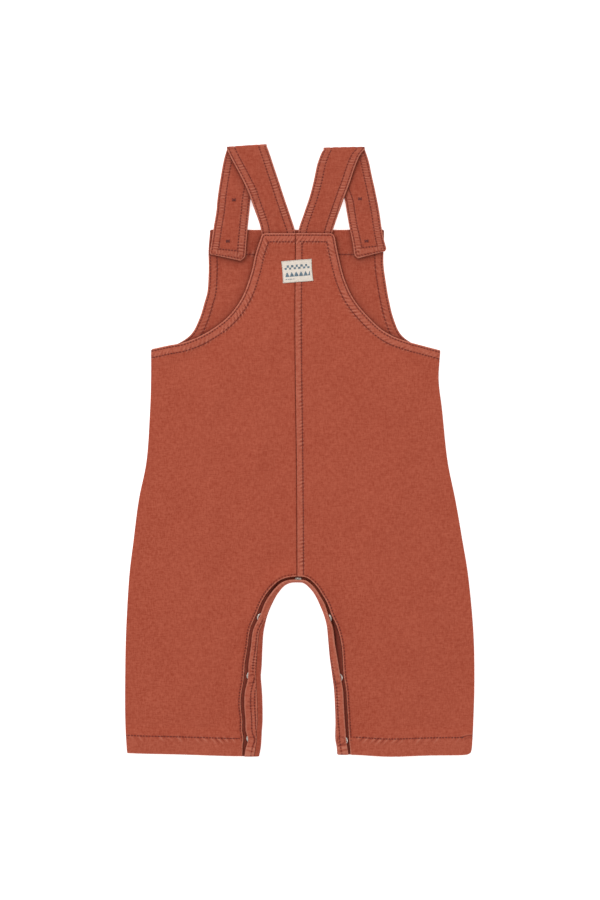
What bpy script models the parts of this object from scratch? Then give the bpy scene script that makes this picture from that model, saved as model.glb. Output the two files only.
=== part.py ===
# Baby overalls lying flat on their front, with the back up.
#
# Every length in the tables is in millimetres. X runs across the garment, Y from the hems to the
# shoulders and Z up from the surface that it lies on. Each piece of cloth is a middle surface that
# is thickened to a wall, and pieces lie a small gap apart, as sewn cloth does.

import math
from collections import namedtuple

import bpy
import numpy as np
from mathutils import Matrix, Vector
from mathutils.bvhtree import BVHTree
from mathutils.geometry import delaunay_2d_cdt

# Sizes that everything else is worked out from
MM = 0.001
CLOTH = 1.1
GAP = 0.3
EDGE_ROUND = 0.3
DOUBLE_CLOTH = 2.0
TURNED_RISE = 0.7
TURN_STEP = 1.0
ARMHOLE_TURN = 7.2
BIB_HEM_DEPTH = 21.0
LEG_HEM_DEPTH = 15.0
SEAM_WIDTH = 5.2
GRID = 13.0
EDGE_STEP = 8.0
LOOSE_CLEAR = 2.6

# Height of the bib's straight top edge and of the back's narrow top edge
BIB_TOP = 187.8
BACK_TOP = 184.5

# Side seams, from the underarm down to the leg hem
Side = namedtuple("Side", "height left right")
SIDES = [
    Side(85.0, -126.2, 119.6),
    Side(34.4, -127.0, 120.8),
    Side(-8.1, -130.0, 125.8),
    Side(-42.1, -136.6, 132.6),
    Side(-76.1, -141.1, 138.5),
    Side(-108.4, -144.9, 143.7),
    Side(-154.3, -147.5, 147.9),
    Side(-195.0, -148.4, 148.8),
    Side(-229.0, -148.2, 147.8),
    Side(-257.3, -146.6, 146.2),
]

# Leg hems, from the side seam to the inseam
Hem = namedtuple("Hem", "x height")
LEFT_HEM = [Hem(-146.6, -257.3), Hem(-100.0, -258.6), Hem(-62.0, -259.8), Hem(-35.0, -260.0)]
RIGHT_HEM = [Hem(146.2, -259.0), Hem(110.0, -259.6), Hem(77.0, -260.3), Hem(33.0, -258.8)]

# Armhole edges of the back, from its top corner down to the underarm
Edge = namedtuple("Edge", "x y")
BACK_ARMHOLE_LEFT = [
    Edge(-32.6, 181.5), Edge(-37.6, 166.4), Edge(-41.1, 150.9), Edge(-48.9, 130.0), Edge(-61.9, 112.6),
    Edge(-80.1, 99.6), Edge(-97.3, 92.2), Edge(-113.0, 88.9), Edge(-126.2, 85.8),
]
BACK_ARMHOLE_RIGHT = [
    Edge(29.9, 181.5), Edge(33.1, 165.5), Edge(38.7, 144.3), Edge(48.0, 125.9), Edge(64.5, 107.5),
    Edge(77.4, 98.2), Edge(90.4, 93.1), Edge(107.0, 88.6), Edge(119.6, 84.9),
]
BACK_CORNER_ROUND = 3.0

# Armhole edges of the bib, from its top corner down to the underarm
BIB_ARMHOLE_LEFT = [
    Edge(-76.0, 184.5), Edge(-77.3, 169.6), Edge(-77.3, 153.4), Edge(-78.2, 136.4), Edge(-80.8, 124.5),
    Edge(-85.0, 112.0), Edge(-92.0, 98.8), Edge(-104.0, 90.6), Edge(-116.0, 87.3), Edge(-126.2, 84.6),
]
BIB_ARMHOLE_RIGHT = [
    Edge(71.9, 184.5), Edge(71.4, 160.2), Edge(74.0, 139.8), Edge(76.5, 126.2), Edge(80.2, 112.0),
    Edge(86.4, 99.0), Edge(97.0, 90.6), Edge(109.0, 86.6), Edge(119.6, 83.8),
]

# Centre back seam, from the top down to the crotch
CENTRE_SEAM = [Edge(-3.2, 184.5), Edge(-3.7, 112.0), Edge(-2.6, 0.0), Edge(-2.0, -95.0)]

# The inseam opening, from the left hem over the crotch to the right hem. fold is where the front's cloth
# turns up, lap the width that it covers from there, and spread the width from its edge to the back's edge.
Inseam = namedtuple("Inseam", "fold_x fold_y lap spread")
INSEAM = [
    Inseam(-34.2, -260.0, 11.5, 1.8),
    Inseam(-31.5, -242.7, 14.5, 2.4),
    Inseam(-31.2, -213.8, 15.6, 2.4),
    Inseam(-32.2, -192.0, 12.3, 2.3),
    Inseam(-31.7, -171.3, 10.4, 3.2),
    Inseam(-30.4, -153.4, 9.2, 2.6),
    Inseam(-27.4, -140.3, 6.4, 2.4),
    Inseam(-22.3, -127.9, 6.2, 2.8),
    Inseam(-17.3, -119.0, 4.6, 2.6),
    Inseam(-10.4, -112.2, 2.6, 2.7),
    Inseam(-1.0, -111.8, 2.4, 2.9),
    Inseam(6.2, -114.2, 2.6, 2.8),
    Inseam(12.6, -121.6, 3.1, 2.6),
    Inseam(17.0, -129.6, 3.4, 2.4),
    Inseam(20.4, -139.6, 3.6, 2.4),
    Inseam(23.0, -148.4, 4.4, 2.8),
    Inseam(24.2, -157.0, 5.1, 4.3),
    Inseam(25.2, -168.7, 5.9, 5.0),
    Inseam(26.2, -182.0, 7.7, 3.0),
    Inseam(27.9, -192.2, 8.0, 2.2),
    Inseam(29.3, -206.0, 8.7, 2.2),
    Inseam(30.2, -226.0, 9.2, 1.7),
    Inseam(30.6, -243.0, 9.7, 1.5),
    Inseam(32.4, -258.8, 9.6, 1.5),
]
INSEAM_STEP = 8.0

# Section of the inseam opening: heights of the middle of each layer where it lies flat and, near the
# crotch, where the bands stand on edge. A lap as wide as LAP_FLAT lies flat.
LAP_FLAT = 9.0
LAP_STANDING = 3.0
TURN_RADIUS = 2.35
FREE_EDGE_FLAT = 5.65
FREE_EDGE_STANDING = 7.7
STANDING_ANGLE = math.radians(78.0)
BACK_EDGE_LIFT = 4.1
BACK_EDGE_LIFT_REACH = 9.0
FRONT_BAND_THICK = 1.2
BACK_BAND_THICK = 1.3
BACK_BAND_WIDTH = 10.0
UNDER_BACK_SHIFT = 1.0
UNDER_BACK_DROP = 1.1
SEAM_FROM_FOLD = 4.8
HEM_FADE_START = 18.0
HEM_FADE = 9.0
STEP_REACH = 8.0
LEAST_BAND = 5.5
FRONT_TURN_START = 8.0

# Snaps, by the height of their middle on each leg, with one at the crotch
SNAP_RADIUS = 3.1
SNAP_THICK_FLAT = 1.5
SNAP_THICK_STANDING = 1.1
SNAP_SHOWS = 0.8
SNAP_STANDING_ROOM = 0.15
LEFT_SNAP_HEIGHTS = [-245.0, -191.8, -140.2]
RIGHT_SNAP_HEIGHTS = [-142.4, -192.4, -245.6]
CROTCH_SNAP_X = -0.6
CROTCH_HALF = 12.0

# Straps, from the root under the back's top edge up to the fold and down to the end inside the bib
Strap = namedtuple("Strap", "left_x left_y right_x right_y")
LEFT_STRAP_RISING = [
    Strap(-31.2, 177.0, -2.4, 177.0),
    Strap(-32.5, 184.6, -3.6, 186.0),
    Strap(-35.2, 196.0, -8.4, 200.6),
    Strap(-41.0, 212.1, -14.2, 218.6),
    Strap(-46.0, 225.0, -18.2, 230.5),
    Strap(-51.6, 236.5, -22.3, 242.5),
    Strap(-58.0, 248.3, -25.8, 253.6),
]
LEFT_STRAP_FOLD = Strap(-62.0, 258.4, -27.7, 260.8)
LEFT_STRAP_FALLING = [
    Strap(-64.4, 247.0, -32.6, 247.5),
    Strap(-66.8, 234.0, -37.6, 234.0),
    Strap(-69.6, 214.9, -42.3, 214.0),
    Strap(-71.0, 202.0, -42.6, 202.0),
    Strap(-72.7, 190.0, -43.9, 189.5),
    Strap(-74.9, 177.2, -45.9, 176.0),
    Strap(-75.7, 169.6, -47.0, 165.4),
    Strap(-75.2, 167.3, -49.5, 161.6),
]
RIGHT_STRAP_RISING = [
    Strap(-1.3, 177.0, 26.7, 177.0),
    Strap(-0.7, 186.6, 28.4, 186.0),
    Strap(3.4, 201.0, 31.7, 197.6),
    Strap(8.2, 215.0, 36.4, 210.8),
    Strap(11.9, 229.0, 41.5, 224.0),
    Strap(14.8, 242.0, 46.3, 238.0),
    Strap(17.6, 250.6, 51.2, 250.2),
]
RIGHT_STRAP_FOLD = Strap(20.2, 258.0, 55.6, 258.6)
RIGHT_STRAP_FALLING = [
    Strap(24.8, 247.0, 58.6, 247.0),
    Strap(30.4, 234.0, 61.7, 233.5),
    Strap(37.4, 215.0, 65.4, 215.0),
    Strap(40.0, 202.5, 67.8, 202.5),
    Strap(42.4, 190.0, 70.0, 190.0),
    Strap(45.3, 177.0, 72.6, 178.4),
    Strap(48.8, 166.0, 73.7, 172.6),
    Strap(51.4, 163.2, 73.0, 170.0),
]
STRAP_STEP = 8.5
BIB_EDGE_FALL = 28.0
STRAP_ROOT_END = 177.0
ROOT_FADE = 13.0

# Buttons on the straps: the upper one hangs free, the lower one is through the bib's buttonhole
Button = namedtuple("Button", "x y through_bib")
BUTTONS = [
    Button(-55.7, 212.9, False),
    Button(-60.8, 177.7, True),
    Button(51.4, 213.8, False),
    Button(56.9, 177.7, True),
]
BUTTON_RADIUS = 6.2
BUTTON_THICK = 2.4
BUTTON_RIM = 1.1
SHANK_RADIUS = 0.9
BUTTONHOLE_LENGTH = 14.0
BUTTONHOLE_WIDTH = 3.0
BUMP_FLAT = 6.8
BUMP_REACH = 25.0
BUMP_RINGS = [9.5, 13.5, 18.5, 24.5]

# Woven label at the back neck
LABEL_WIDTH = 26.0
LABEL_HEIGHT = 18.8
LABEL_THICK = 1.0
LABEL_CENTRE = Edge(-1.9, 152.5)
LABEL_TILT = math.radians(4.6)
LABEL_STEP = 3.3

# Soft folds of the back: a line, its height and half its width
Fold = namedtuple("Fold", "x1 y1 x2 y2 height half_width")
BACK_FOLDS = [
    Fold(-58.0, 96.0, -82.0, 30.0, 0.9, 13.0),
    Fold(52.0, 92.0, 74.0, 22.0, 0.8, 12.0),
    Fold(-92.0, 8.0, -66.0, -96.0, 0.7, 16.0),
    Fold(88.0, -6.0, 60.0, -104.0, 0.8, 16.0),
    Fold(-100.0, -150.0, -96.0, -236.0, 0.7, 14.0),
    Fold(96.0, -140.0, 88.0, -232.0, 0.8, 14.0),
    Fold(22.0, 60.0, 34.0, -40.0, 0.6, 12.0),
    Fold(-30.0, 70.0, -40.0, -30.0, 0.6, 12.0),
]
LOFT = 0.6
LOFT_REACH = 40.0

CLOTH_COLOUR = (0.392, 0.083, 0.047)
BAND_COLOUR = (0.436, 0.105, 0.063)
METAL_COLOUR = (0.62, 0.6, 0.57)
LABEL_COLOUR = (0.84, 0.75, 0.65)
BUTTON_COLOUR = (0.3, 0.075, 0.045)


def smooth_step(value):
    """Rises softly from 0 to 1 as value goes from 0 to 1."""
    t = np.clip(value, 0.0, 1.0)
    return t * t * (3.0 - 2.0 * t)


def curve_through(rows, step):
    """Rows at even steps on a smooth curve through the given rows, whose first two columns are the place."""
    knots = np.array(rows, dtype=float)
    padded = np.vstack([2 * knots[0] - knots[1], knots, 2 * knots[-1] - knots[-2]])
    fine = []
    for a, b, c, d in zip(padded[:-3], padded[1:-2], padded[2:-1], padded[3:]):
        for t in np.linspace(0.0, 1.0, 12, endpoint=False):
            fine.append(0.5 * (2 * b + (c - a) * t + (2 * a - 5 * b + 4 * c - d) * t**2
                               + (3 * b - a - 3 * c + d) * t**3))
    fine.append(knots[-1])
    return even_steps(np.array(fine), step)


def even_steps(points, step=None, count=None):
    """The polyline's rows at even spacing along it, by step or by count."""
    lengths = np.linalg.norm(np.diff(points[:, :2], axis=0), axis=1)
    along = np.concatenate([[0.0], np.cumsum(lengths)])
    if count is None:
        count = max(2, round(along[-1] / step) + 1)
    targets = np.linspace(0.0, along[-1], count)
    return np.stack([np.interp(targets, along, column) for column in points.T], axis=1)


def part_of_path(points, start, end, count):
    """Rows at even spacing on the stretch of a polyline between two lengths along it."""
    lengths = np.linalg.norm(np.diff(points, axis=0), axis=1)
    along = np.concatenate([[0.0], np.cumsum(lengths)])
    targets = np.linspace(start, min(end, along[-1]), count)
    return np.stack([np.interp(targets, along, column) for column in points.T], axis=1)


def distance_to(points, line):
    """Each point's distance to a polyline, and the place along it, in rows, of the nearest point."""
    points = np.asarray(points, dtype=float)
    line = np.asarray(line, dtype=float)[:, :2]
    start = line[:-1]
    run = line[1:] - start
    from_start = points[:, None, :] - start[None]
    share = np.clip((from_start * run).sum(-1) / (run**2).sum(-1), 0.0, 1.0)
    away = np.linalg.norm(from_start - share[..., None] * run, axis=-1)
    nearest = away.argmin(axis=1)
    rows = np.arange(len(points))
    return away[rows, nearest], nearest + share[rows, nearest]


def offset_line(line, distance):
    """The polyline moved to its left by a distance."""
    line = np.asarray(line, dtype=float)[:, :2]
    along = np.gradient(line, axis=0)
    along /= np.linalg.norm(along, axis=1)[:, None]
    return line + distance * np.stack([-along[:, 1], along[:, 0]], axis=1)


def inside(points, polygon):
    """Which of the points lie inside a polygon."""
    x, y = np.asarray(points, dtype=float).T
    result = np.zeros(len(x), dtype=bool)
    for (x1, y1), (x2, y2) in zip(polygon, np.roll(polygon, -1, axis=0)):
        crosses = (y1 > y) != (y2 > y)
        if y1 != y2:
            result ^= crosses & (x < (x2 - x1) * (y - y1) / (y2 - y1) + x1)
    return result


def filled(outline, creases=(), holes=(), loose=None):
    """Triangles that fill an outline, with points along the creases, loose points and a grid between them."""
    loops = [np.asarray(loop)[:, :2] for loop in (outline, *holes)]
    lines = []
    for crease in creases:
        crease = np.asarray(crease)[:, :2]
        clear = distance_to(crease, np.vstack([loops[0], loops[0][:1]]))[0] > 0.45 * TURN_STEP
        crease = crease[inside(crease, loops[0]) & clear]
        if len(crease) > 1:
            lines.append(crease)
    fixed = [*loops, *lines]
    low, high = loops[0].min(axis=0), loops[0].max(axis=0)
    row_height = GRID * math.sqrt(3) / 2
    spots = []
    for row in range(int((high[1] - low[1]) / row_height) + 2):
        for column in range(int((high[0] - low[0]) / GRID) + 2):
            spots.append((low[0] + GRID * (column + 0.5 * (row % 2)), low[1] + row_height * row))
    spots = np.array(spots)
    spots = spots[inside(spots, loops[0])]
    if loose is None:
        loose = np.zeros((0, 2))
    else:
        loose = loose[inside(loose, loops[0])]
        spots = spots[np.linalg.norm(spots[:, None] - loose[None], axis=2).min(axis=1) > 0.5 * GRID]
    for number, line in enumerate(fixed):
        whole = np.vstack([line, line[:1]]) if number < len(loops) else line
        spots = spots[distance_to(spots, whole)[0] > 0.5 * GRID]
        if len(loose):
            loose = loose[distance_to(loose, whole)[0] > LOOSE_CLEAR]
    points = np.vstack([*fixed, loose, spots])
    edges = []
    first = 0
    for number, line in enumerate(fixed):
        count = len(line)
        edges += [(first + i, first + i + 1) for i in range(count - 1)]
        if number < len(loops):
            edges.append((first + count - 1, first))
        first += count
    made = delaunay_2d_cdt([Vector(p) for p in points], edges, [], 0, 1e-4)
    flat = np.array([tuple(p) for p in made[0]])
    faces = np.array([tuple(face) for face in made[2]])
    middles = flat[faces].mean(axis=1)
    keep = inside(middles, loops[0])
    for hole in loops[1:]:
        keep &= ~inside(middles, hole)
    faces = faces[keep]
    used, renumbered = np.unique(faces, return_inverse=True)
    new_index = {old: new for new, old in enumerate(used)}
    place_of = {source: new_index[index] for index, sources in enumerate(made[3])
                for source in sources if index in new_index}
    return flat[used], [tuple(face) for face in renumbered.reshape(faces.shape).tolist()], place_of


def strip_faces(rows, columns, first=0):
    """Quads between the points of a grid that is stored row by row."""
    return [
        (first + i * columns + j, first + i * columns + j + 1,
         first + (i + 1) * columns + j + 1, first + (i + 1) * columns + j)
        for i in range(rows - 1) for j in range(columns - 1)
    ]


def face_normals(points, faces):
    """The area-weighted direction of each point, from the faces round it."""
    normals = np.zeros_like(points)
    for face in faces:
        corners = points[list(face)]
        normal = np.zeros(3)
        for a, b in zip(corners, np.roll(corners, -1, axis=0)):
            normal += np.cross(a, b)
        for index in face:
            normals[index] += normal
    return normals / np.linalg.norm(normals, axis=1)[:, None]


def cloth_wall(name, points, faces, over, under, material):
    """A closed wall of cloth round a middle surface, with rounded edges all the way round."""
    count = len(points)
    over = np.broadcast_to(over, count)
    under = np.broadcast_to(under, count)
    normals = face_normals(points, faces)
    directed = {(a, b) for face in faces for a, b in zip(face, face[1:] + face[:1])}
    rim = sorted((a, b) for a, b in directed if (b, a) not in directed)
    inward = np.zeros_like(points)
    for a, b in rim:
        side = np.cross(normals[a] + normals[b], points[b] - points[a])
        side /= np.linalg.norm(side)
        inward[a] += side
        inward[b] += side
    edge_points = sorted({a for a, b in rim})
    inward[edge_points] /= np.linalg.norm(inward[edge_points], axis=1)[:, None]
    upper = points + normals * over[:, None] + inward * EDGE_ROUND
    lower = points - normals * under[:, None] + inward * EDGE_ROUND
    middle = (points + normals * ((over - under) / 2)[:, None])[edge_points]
    middle_of = {index: 2 * count + place for place, index in enumerate(edge_points)}
    walls = list(faces)
    walls += [tuple(count + index for index in reversed(face)) for face in faces]
    for a, b in rim:
        walls.append((b, a, middle_of[a], middle_of[b]))
        walls.append((middle_of[b], middle_of[a], count + a, count + b))
    return add_mesh(name, np.vstack([upper, lower, middle]), walls, material)


def add_mesh(name, vertices, faces, material):
    """An object from points in millimetres, smooth but for its sharp edges."""
    mesh = bpy.data.meshes.new(name)
    mesh.from_pydata([tuple(v) for v in np.asarray(vertices) * MM], [], faces)
    mesh.validate()
    mesh.materials.append(material)
    mesh.shade_smooth()
    mesh.set_sharp_from_angle(angle=math.radians(50.0))
    obj = bpy.data.objects.new(name, mesh)
    bpy.context.scene.collection.objects.link(obj)
    return obj


def make_material(name, colour, roughness, metallic=0.0):
    material = bpy.data.materials.new(name)
    material.use_nodes = True
    shader = material.node_tree.nodes["Principled BSDF"]
    shader.inputs["Base Color"].default_value = (*colour, 1.0)
    shader.inputs["Roughness"].default_value = roughness
    shader.inputs["Metallic"].default_value = metallic
    return material


# The inseam opening, station by station

STATIONS = curve_through(INSEAM, INSEAM_STEP)
FOLD_LINE = STATIONS[:, :2]
LAPS = STATIONS[:, 2]
SPREADS = STATIONS[:, 3]
STANDING = smooth_step((LAP_FLAT - LAPS) / (LAP_FLAT - LAP_STANDING))


def inward_of_fold():
    along = np.gradient(FOLD_LINE, axis=0)
    along[0] = (0.0, 1.0)
    along[-1] = (0.0, -1.0)
    along /= np.linalg.norm(along, axis=1)[:, None]
    return np.stack([-along[:, 1], along[:, 0]], axis=1)


INWARD = inward_of_fold()
BACK_EDGE = FOLD_LINE + INWARD * (LAPS + SPREADS)[:, None]


def in_space(station, section):
    """Points of a station's section, given as distance in from the fold and height, in space."""
    place = FOLD_LINE[station] + section[:, :1] * INWARD[station]
    return np.hstack([place, section[:, 1:]])


def bezier(start, start_handle, end_handle, end, count=24):
    t = np.linspace(0.0, 1.0, count)[:, None]
    return ((1 - t)**3 * start + 3 * (1 - t)**2 * t * start_handle
            + 3 * (1 - t) * t**2 * end_handle + t**3 * end)


def turned_path(station):
    """Section of the front's cloth, from its free edge over the fold and under to the flat front."""
    lap, standing = LAPS[station], STANDING[station]
    half = CLOTH / 2
    free = np.array([lap - half, FREE_EDGE_FLAT + (FREE_EDGE_STANDING - FREE_EDGE_FLAT) * standing])
    side = np.array([half, half + TURN_RADIUS])
    slope = STANDING_ANGLE * standing
    reach = 0.75 * (1.0 - 0.4 * standing) * np.linalg.norm(free - side)
    free_handle = free - reach * np.array([math.cos(slope), math.sin(slope)])
    free_handle[0] = max(free_handle[0], half + 0.3)
    side_handle = side + np.array([0.0, 0.8 * (1.0 - 0.5 * standing) * (free[1] - side[1])])
    upper = bezier(free, free_handle, side_handle, side)
    turn = np.linspace(0.0, math.pi / 2, 10)[1:, None]
    lower = side + TURN_RADIUS * np.hstack([1 - np.cos(turn), -np.sin(turn)])
    return np.vstack([upper, lower, [[FRONT_TURN_START, half]]])


def front_band_width(station):
    return max(LEAST_BAND, LAPS[station] - SEAM_FROM_FOLD)


# Heights of the layers, bottom to top

def button_bump(points, through_bib):
    """Height that the cloth is held up at by the buttons under it."""
    height = np.zeros(len(points))
    for button in BUTTONS:
        if button.through_bib == through_bib:
            away = np.hypot(points[:, 0] - button.x, points[:, 1] - button.y)
            fall = smooth_step((BUMP_REACH - away) / (BUMP_REACH - BUMP_FLAT))
            height = np.maximum(height, (BUTTON_THICK + GAP) * fall)
    return height


def turned_up_to(away, depth, reach=0.0):
    """1 where cloth is turned in to a depth from its edge, falling to 0 over a small step and a reach."""
    fall = TURN_STEP + 0.75 * reach
    return smooth_step((depth + TURN_STEP + reach - away) / fall)


def front_thickness(points, reach=0.0):
    """Thickness of the front: its turned edges are double. With a reach, its steps are softened outwards."""
    armholes = min_distance(points, BIB_LEFT_CURVE, BIB_RIGHT_CURVE)
    turned = turned_up_to(armholes, ARMHOLE_TURN, reach)
    turned = np.maximum(turned, turned_up_to(BIB_TOP - points[:, 1], BIB_HEM_DEPTH, reach))
    under_lap = 1.0 if reach else smooth_step((distance_to(points, FOLD_LINE)[0] - HEM_FADE_START) / HEM_FADE)
    turned = np.maximum(turned, leg_hem_turned(points, reach) * under_lap)
    return CLOTH + TURNED_RISE * turned


def back_thickness(points):
    """Thickness of the back: its turned edges are double, and so is the right side of the centre seam."""
    armholes = min_distance(points, BACK_LEFT_CURVE, BACK_RIGHT_CURVE)
    turned = turned_up_to(armholes, ARMHOLE_TURN)
    turned = np.maximum(turned, turned_up_to(BACK_TOP - points[:, 1], ARMHOLE_TURN))
    turned = np.maximum(turned, leg_hem_turned(points))
    across = points[:, 0] - seam_x(points[:, 1])
    seam = smooth_step((SEAM_WIDTH + TURN_STEP - across) / TURN_STEP) * (across > 0)
    return CLOTH + TURNED_RISE * np.maximum(turned, seam)


def leg_hem_turned(points, reach=0.0):
    return turned_up_to(min_distance(points, LEFT_HEM_CURVE, RIGHT_HEM_CURVE), LEG_HEM_DEPTH, reach)


def min_distance(points, *lines):
    return np.min([distance_to(points, line)[0] for line in lines], axis=0)


def seam_x(heights):
    table = np.array(CENTRE_SEAM)[::-1]
    return np.interp(heights, table[:, 1], table[:, 0])


def front_top(points, reach=0.0):
    return button_bump(points, True) + front_thickness(points, reach)


def back_bottom(points):
    """Underside of the back: on the front, over the strap roots, with soft folds, up to its lifted edge."""
    height = front_top(points, STEP_REACH) + GAP
    roots = smooth_step((points[:, 1] - STRAP_ROOT_END + ROOT_FADE) / (ROOT_FADE - 1.0))
    height = height + (DOUBLE_CLOTH + GAP) * roots
    away, place = distance_to(points, BACK_EDGE)
    standing = np.interp(place, np.arange(len(STANDING)), STANDING)
    height = height + BACK_EDGE_LIFT * standing * np.exp(-((away / BACK_EDGE_LIFT_REACH)**2))
    outer = min_distance(points, LEFT_SIDE_CURVE, RIGHT_SIDE_CURVE, LEFT_HEM_CURVE, RIGHT_HEM_CURVE,
                         BACK_LEFT_CURVE, BACK_RIGHT_CURVE, BACK_EDGE)
    soft = smooth_step(outer / LOFT_REACH)
    height = height + LOFT * soft
    for fold in BACK_FOLDS:
        line = np.array([[fold.x1, fold.y1], [fold.x2, fold.y2]])
        from_line, along = distance_to(points, line)
        ends = 0.35 + 0.65 * np.sin(math.pi * np.clip(along, 0.0, 1.0))
        height = height + fold.height * soft * ends * np.exp(-((from_line / fold.half_width)**2))
    return height


def back_top(points):
    return back_bottom(points) + back_thickness(points)


# Outlines

def rounded_corner(corner, first, second, radius, count=5):
    """Points of an arc that rounds a corner, between its two neighbours."""
    corner, first, second = (np.array(p, dtype=float) for p in (corner, first, second))
    towards_first = (first - corner) / np.linalg.norm(first - corner)
    towards_second = (second - corner) / np.linalg.norm(second - corner)
    start, end = corner + radius * towards_first, corner + radius * towards_second
    t = np.linspace(0.0, 1.0, count)[:, None]
    return (1 - t)**2 * start + 2 * t * (1 - t) * corner + t**2 * end


def plain(rows):
    return np.array([tuple(row) for row in rows], dtype=float)


LEFT_SIDE_CURVE = curve_through([(row.left, row.height) for row in SIDES], EDGE_STEP)
RIGHT_SIDE_CURVE = curve_through([(row.right, row.height) for row in SIDES], EDGE_STEP)
LEFT_HEM_CURVE = curve_through(LEFT_HEM, EDGE_STEP)
RIGHT_HEM_CURVE = curve_through(RIGHT_HEM, EDGE_STEP)
BACK_LEFT_CURVE = curve_through(BACK_ARMHOLE_LEFT, EDGE_STEP)
BACK_RIGHT_CURVE = curve_through(BACK_ARMHOLE_RIGHT, EDGE_STEP)
BIB_LEFT_CURVE = curve_through(BIB_ARMHOLE_LEFT, EDGE_STEP)
BIB_RIGHT_CURVE = curve_through(BIB_ARMHOLE_RIGHT, EDGE_STEP)
SEAM_CURVE = curve_through(CENTRE_SEAM, EDGE_STEP)


def hem_up_to(curve, x):
    """The part of a hem that lies further out than x, ending at x."""
    outside = curve[np.abs(curve[:, 0]) > abs(x) + 1.0]
    order = np.argsort(curve[:, 0])
    end = np.interp(x, curve[order, 0], curve[order, 1])
    return np.vstack([outside, [[x, end]]])


def straight(start, end, step):
    count = max(2, round(math.dist(start, end) / step) + 1)
    return np.linspace(start, end, count)


def turned_creases(line, depth, left):
    """Both sides of the small step where a turned edge ends."""
    side = 1.0 if left else -1.0
    return [offset_line(line, side * depth), offset_line(line, side * (depth + TURN_STEP))]


# The pieces

def make_front(material):
    """The front: flat on the surface, with its inseam edges turned up round the fold."""
    ring = np.array([FOLD_LINE[i] + FRONT_TURN_START * INWARD[i] for i in range(len(STATIONS))])
    left_corner = rounded_corner((-76.2, BIB_TOP), BIB_LEFT_CURVE[0], (0.0, BIB_TOP), 2.0, 3)
    right_corner = rounded_corner((71.9, BIB_TOP), (0.0, BIB_TOP), BIB_RIGHT_CURVE[0], 2.0, 3)
    left_hem = hem_up_to(LEFT_HEM_CURVE, ring[0, 0])
    right_hem = hem_up_to(RIGHT_HEM_CURVE, ring[-1, 0])
    ring[0] = left_hem[-1]
    ring[-1] = right_hem[-1]
    outline = np.vstack([
        ring,
        right_hem[::-1][1:],
        RIGHT_SIDE_CURVE[::-1][1:],
        BIB_RIGHT_CURVE[::-1][1:],
        right_corner[::-1],
        straight(right_corner[0], left_corner[-1], EDGE_STEP)[1:-1],
        left_corner[::-1],
        BIB_LEFT_CURVE[:-1],
        LEFT_SIDE_CURVE[:-1],
        left_hem[:-1],
    ])
    holes = [buttonhole(button) for button in BUTTONS if button.through_bib]
    bib_hem = BIB_TOP - BIB_HEM_DEPTH
    creases = [
        *turned_creases(BIB_LEFT_CURVE, ARMHOLE_TURN, True),
        *turned_creases(BIB_RIGHT_CURVE, ARMHOLE_TURN, False),
    ]
    creases = [line[line[:, 1] < bib_hem - 3.0] for line in creases]
    for height in (bib_hem, bib_hem - TURN_STEP):
        creases.append(straight((-68.0, height), (63.0, height), EDGE_STEP))
    creases += hem_creases()
    rings = [ring_round(button, radius) for button in BUTTONS if button.through_bib for radius in BUMP_RINGS]
    flat, faces, place_of = filled(outline, creases, holes, np.vstack(rings))
    middle = np.column_stack([flat, CLOTH / 2 + button_bump(flat, True)])
    extra = front_thickness(flat) - CLOTH
    columns = 8
    turned = []
    for station in range(len(STATIONS)):
        path = turned_path(station)
        start = front_band_width(station) + GAP
        rows = part_of_path(path, start, 1e9, columns)[::-1]
        turned.append(in_space(station, rows[1:]))
    first = len(middle)
    points = np.vstack([middle, *turned])
    wide = columns - 1
    faces += strip_faces(len(STATIONS), wide, first)
    for i in range(len(STATIONS) - 1):
        faces.append((first + i * wide, first + (i + 1) * wide, place_of[i + 1], place_of[i]))
    points[place_of[0], 1] = FOLD_LINE[0, 1]
    points[place_of[len(STATIONS) - 1], 1] = FOLD_LINE[-1, 1]
    over = np.concatenate([CLOTH / 2 + extra, np.full(len(points) - first, CLOTH / 2)])
    return cloth_wall("front", points, faces, over, np.full(len(points), CLOTH / 2), material)


def buttonhole(button):
    """A slot across the bib, round at both ends."""
    half = BUTTONHOLE_WIDTH / 2
    reach = BUTTONHOLE_LENGTH / 2 - half
    angles = np.linspace(-math.pi / 2, math.pi / 2, 4)
    right = [(button.x + reach + half * math.cos(a), button.y + half * math.sin(a)) for a in angles]
    left = [(button.x - reach - half * math.cos(a), button.y - half * math.sin(a)) for a in angles]
    return np.array(right + left)


def ring_round(button, radius):
    """A ring of places round a button."""
    count = round(2 * math.pi * radius / EDGE_STEP) + 3
    angles = np.linspace(0.0, 2 * math.pi, count, endpoint=False)
    return np.column_stack([button.x + radius * np.cos(angles), button.y + radius * np.sin(angles)])


def hem_creases():
    lines = []
    for curve, left in ((LEFT_HEM_CURVE, True), (RIGHT_HEM_CURVE, False)):
        lines += turned_creases(curve, LEG_HEM_DEPTH, left)
    return lines


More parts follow.
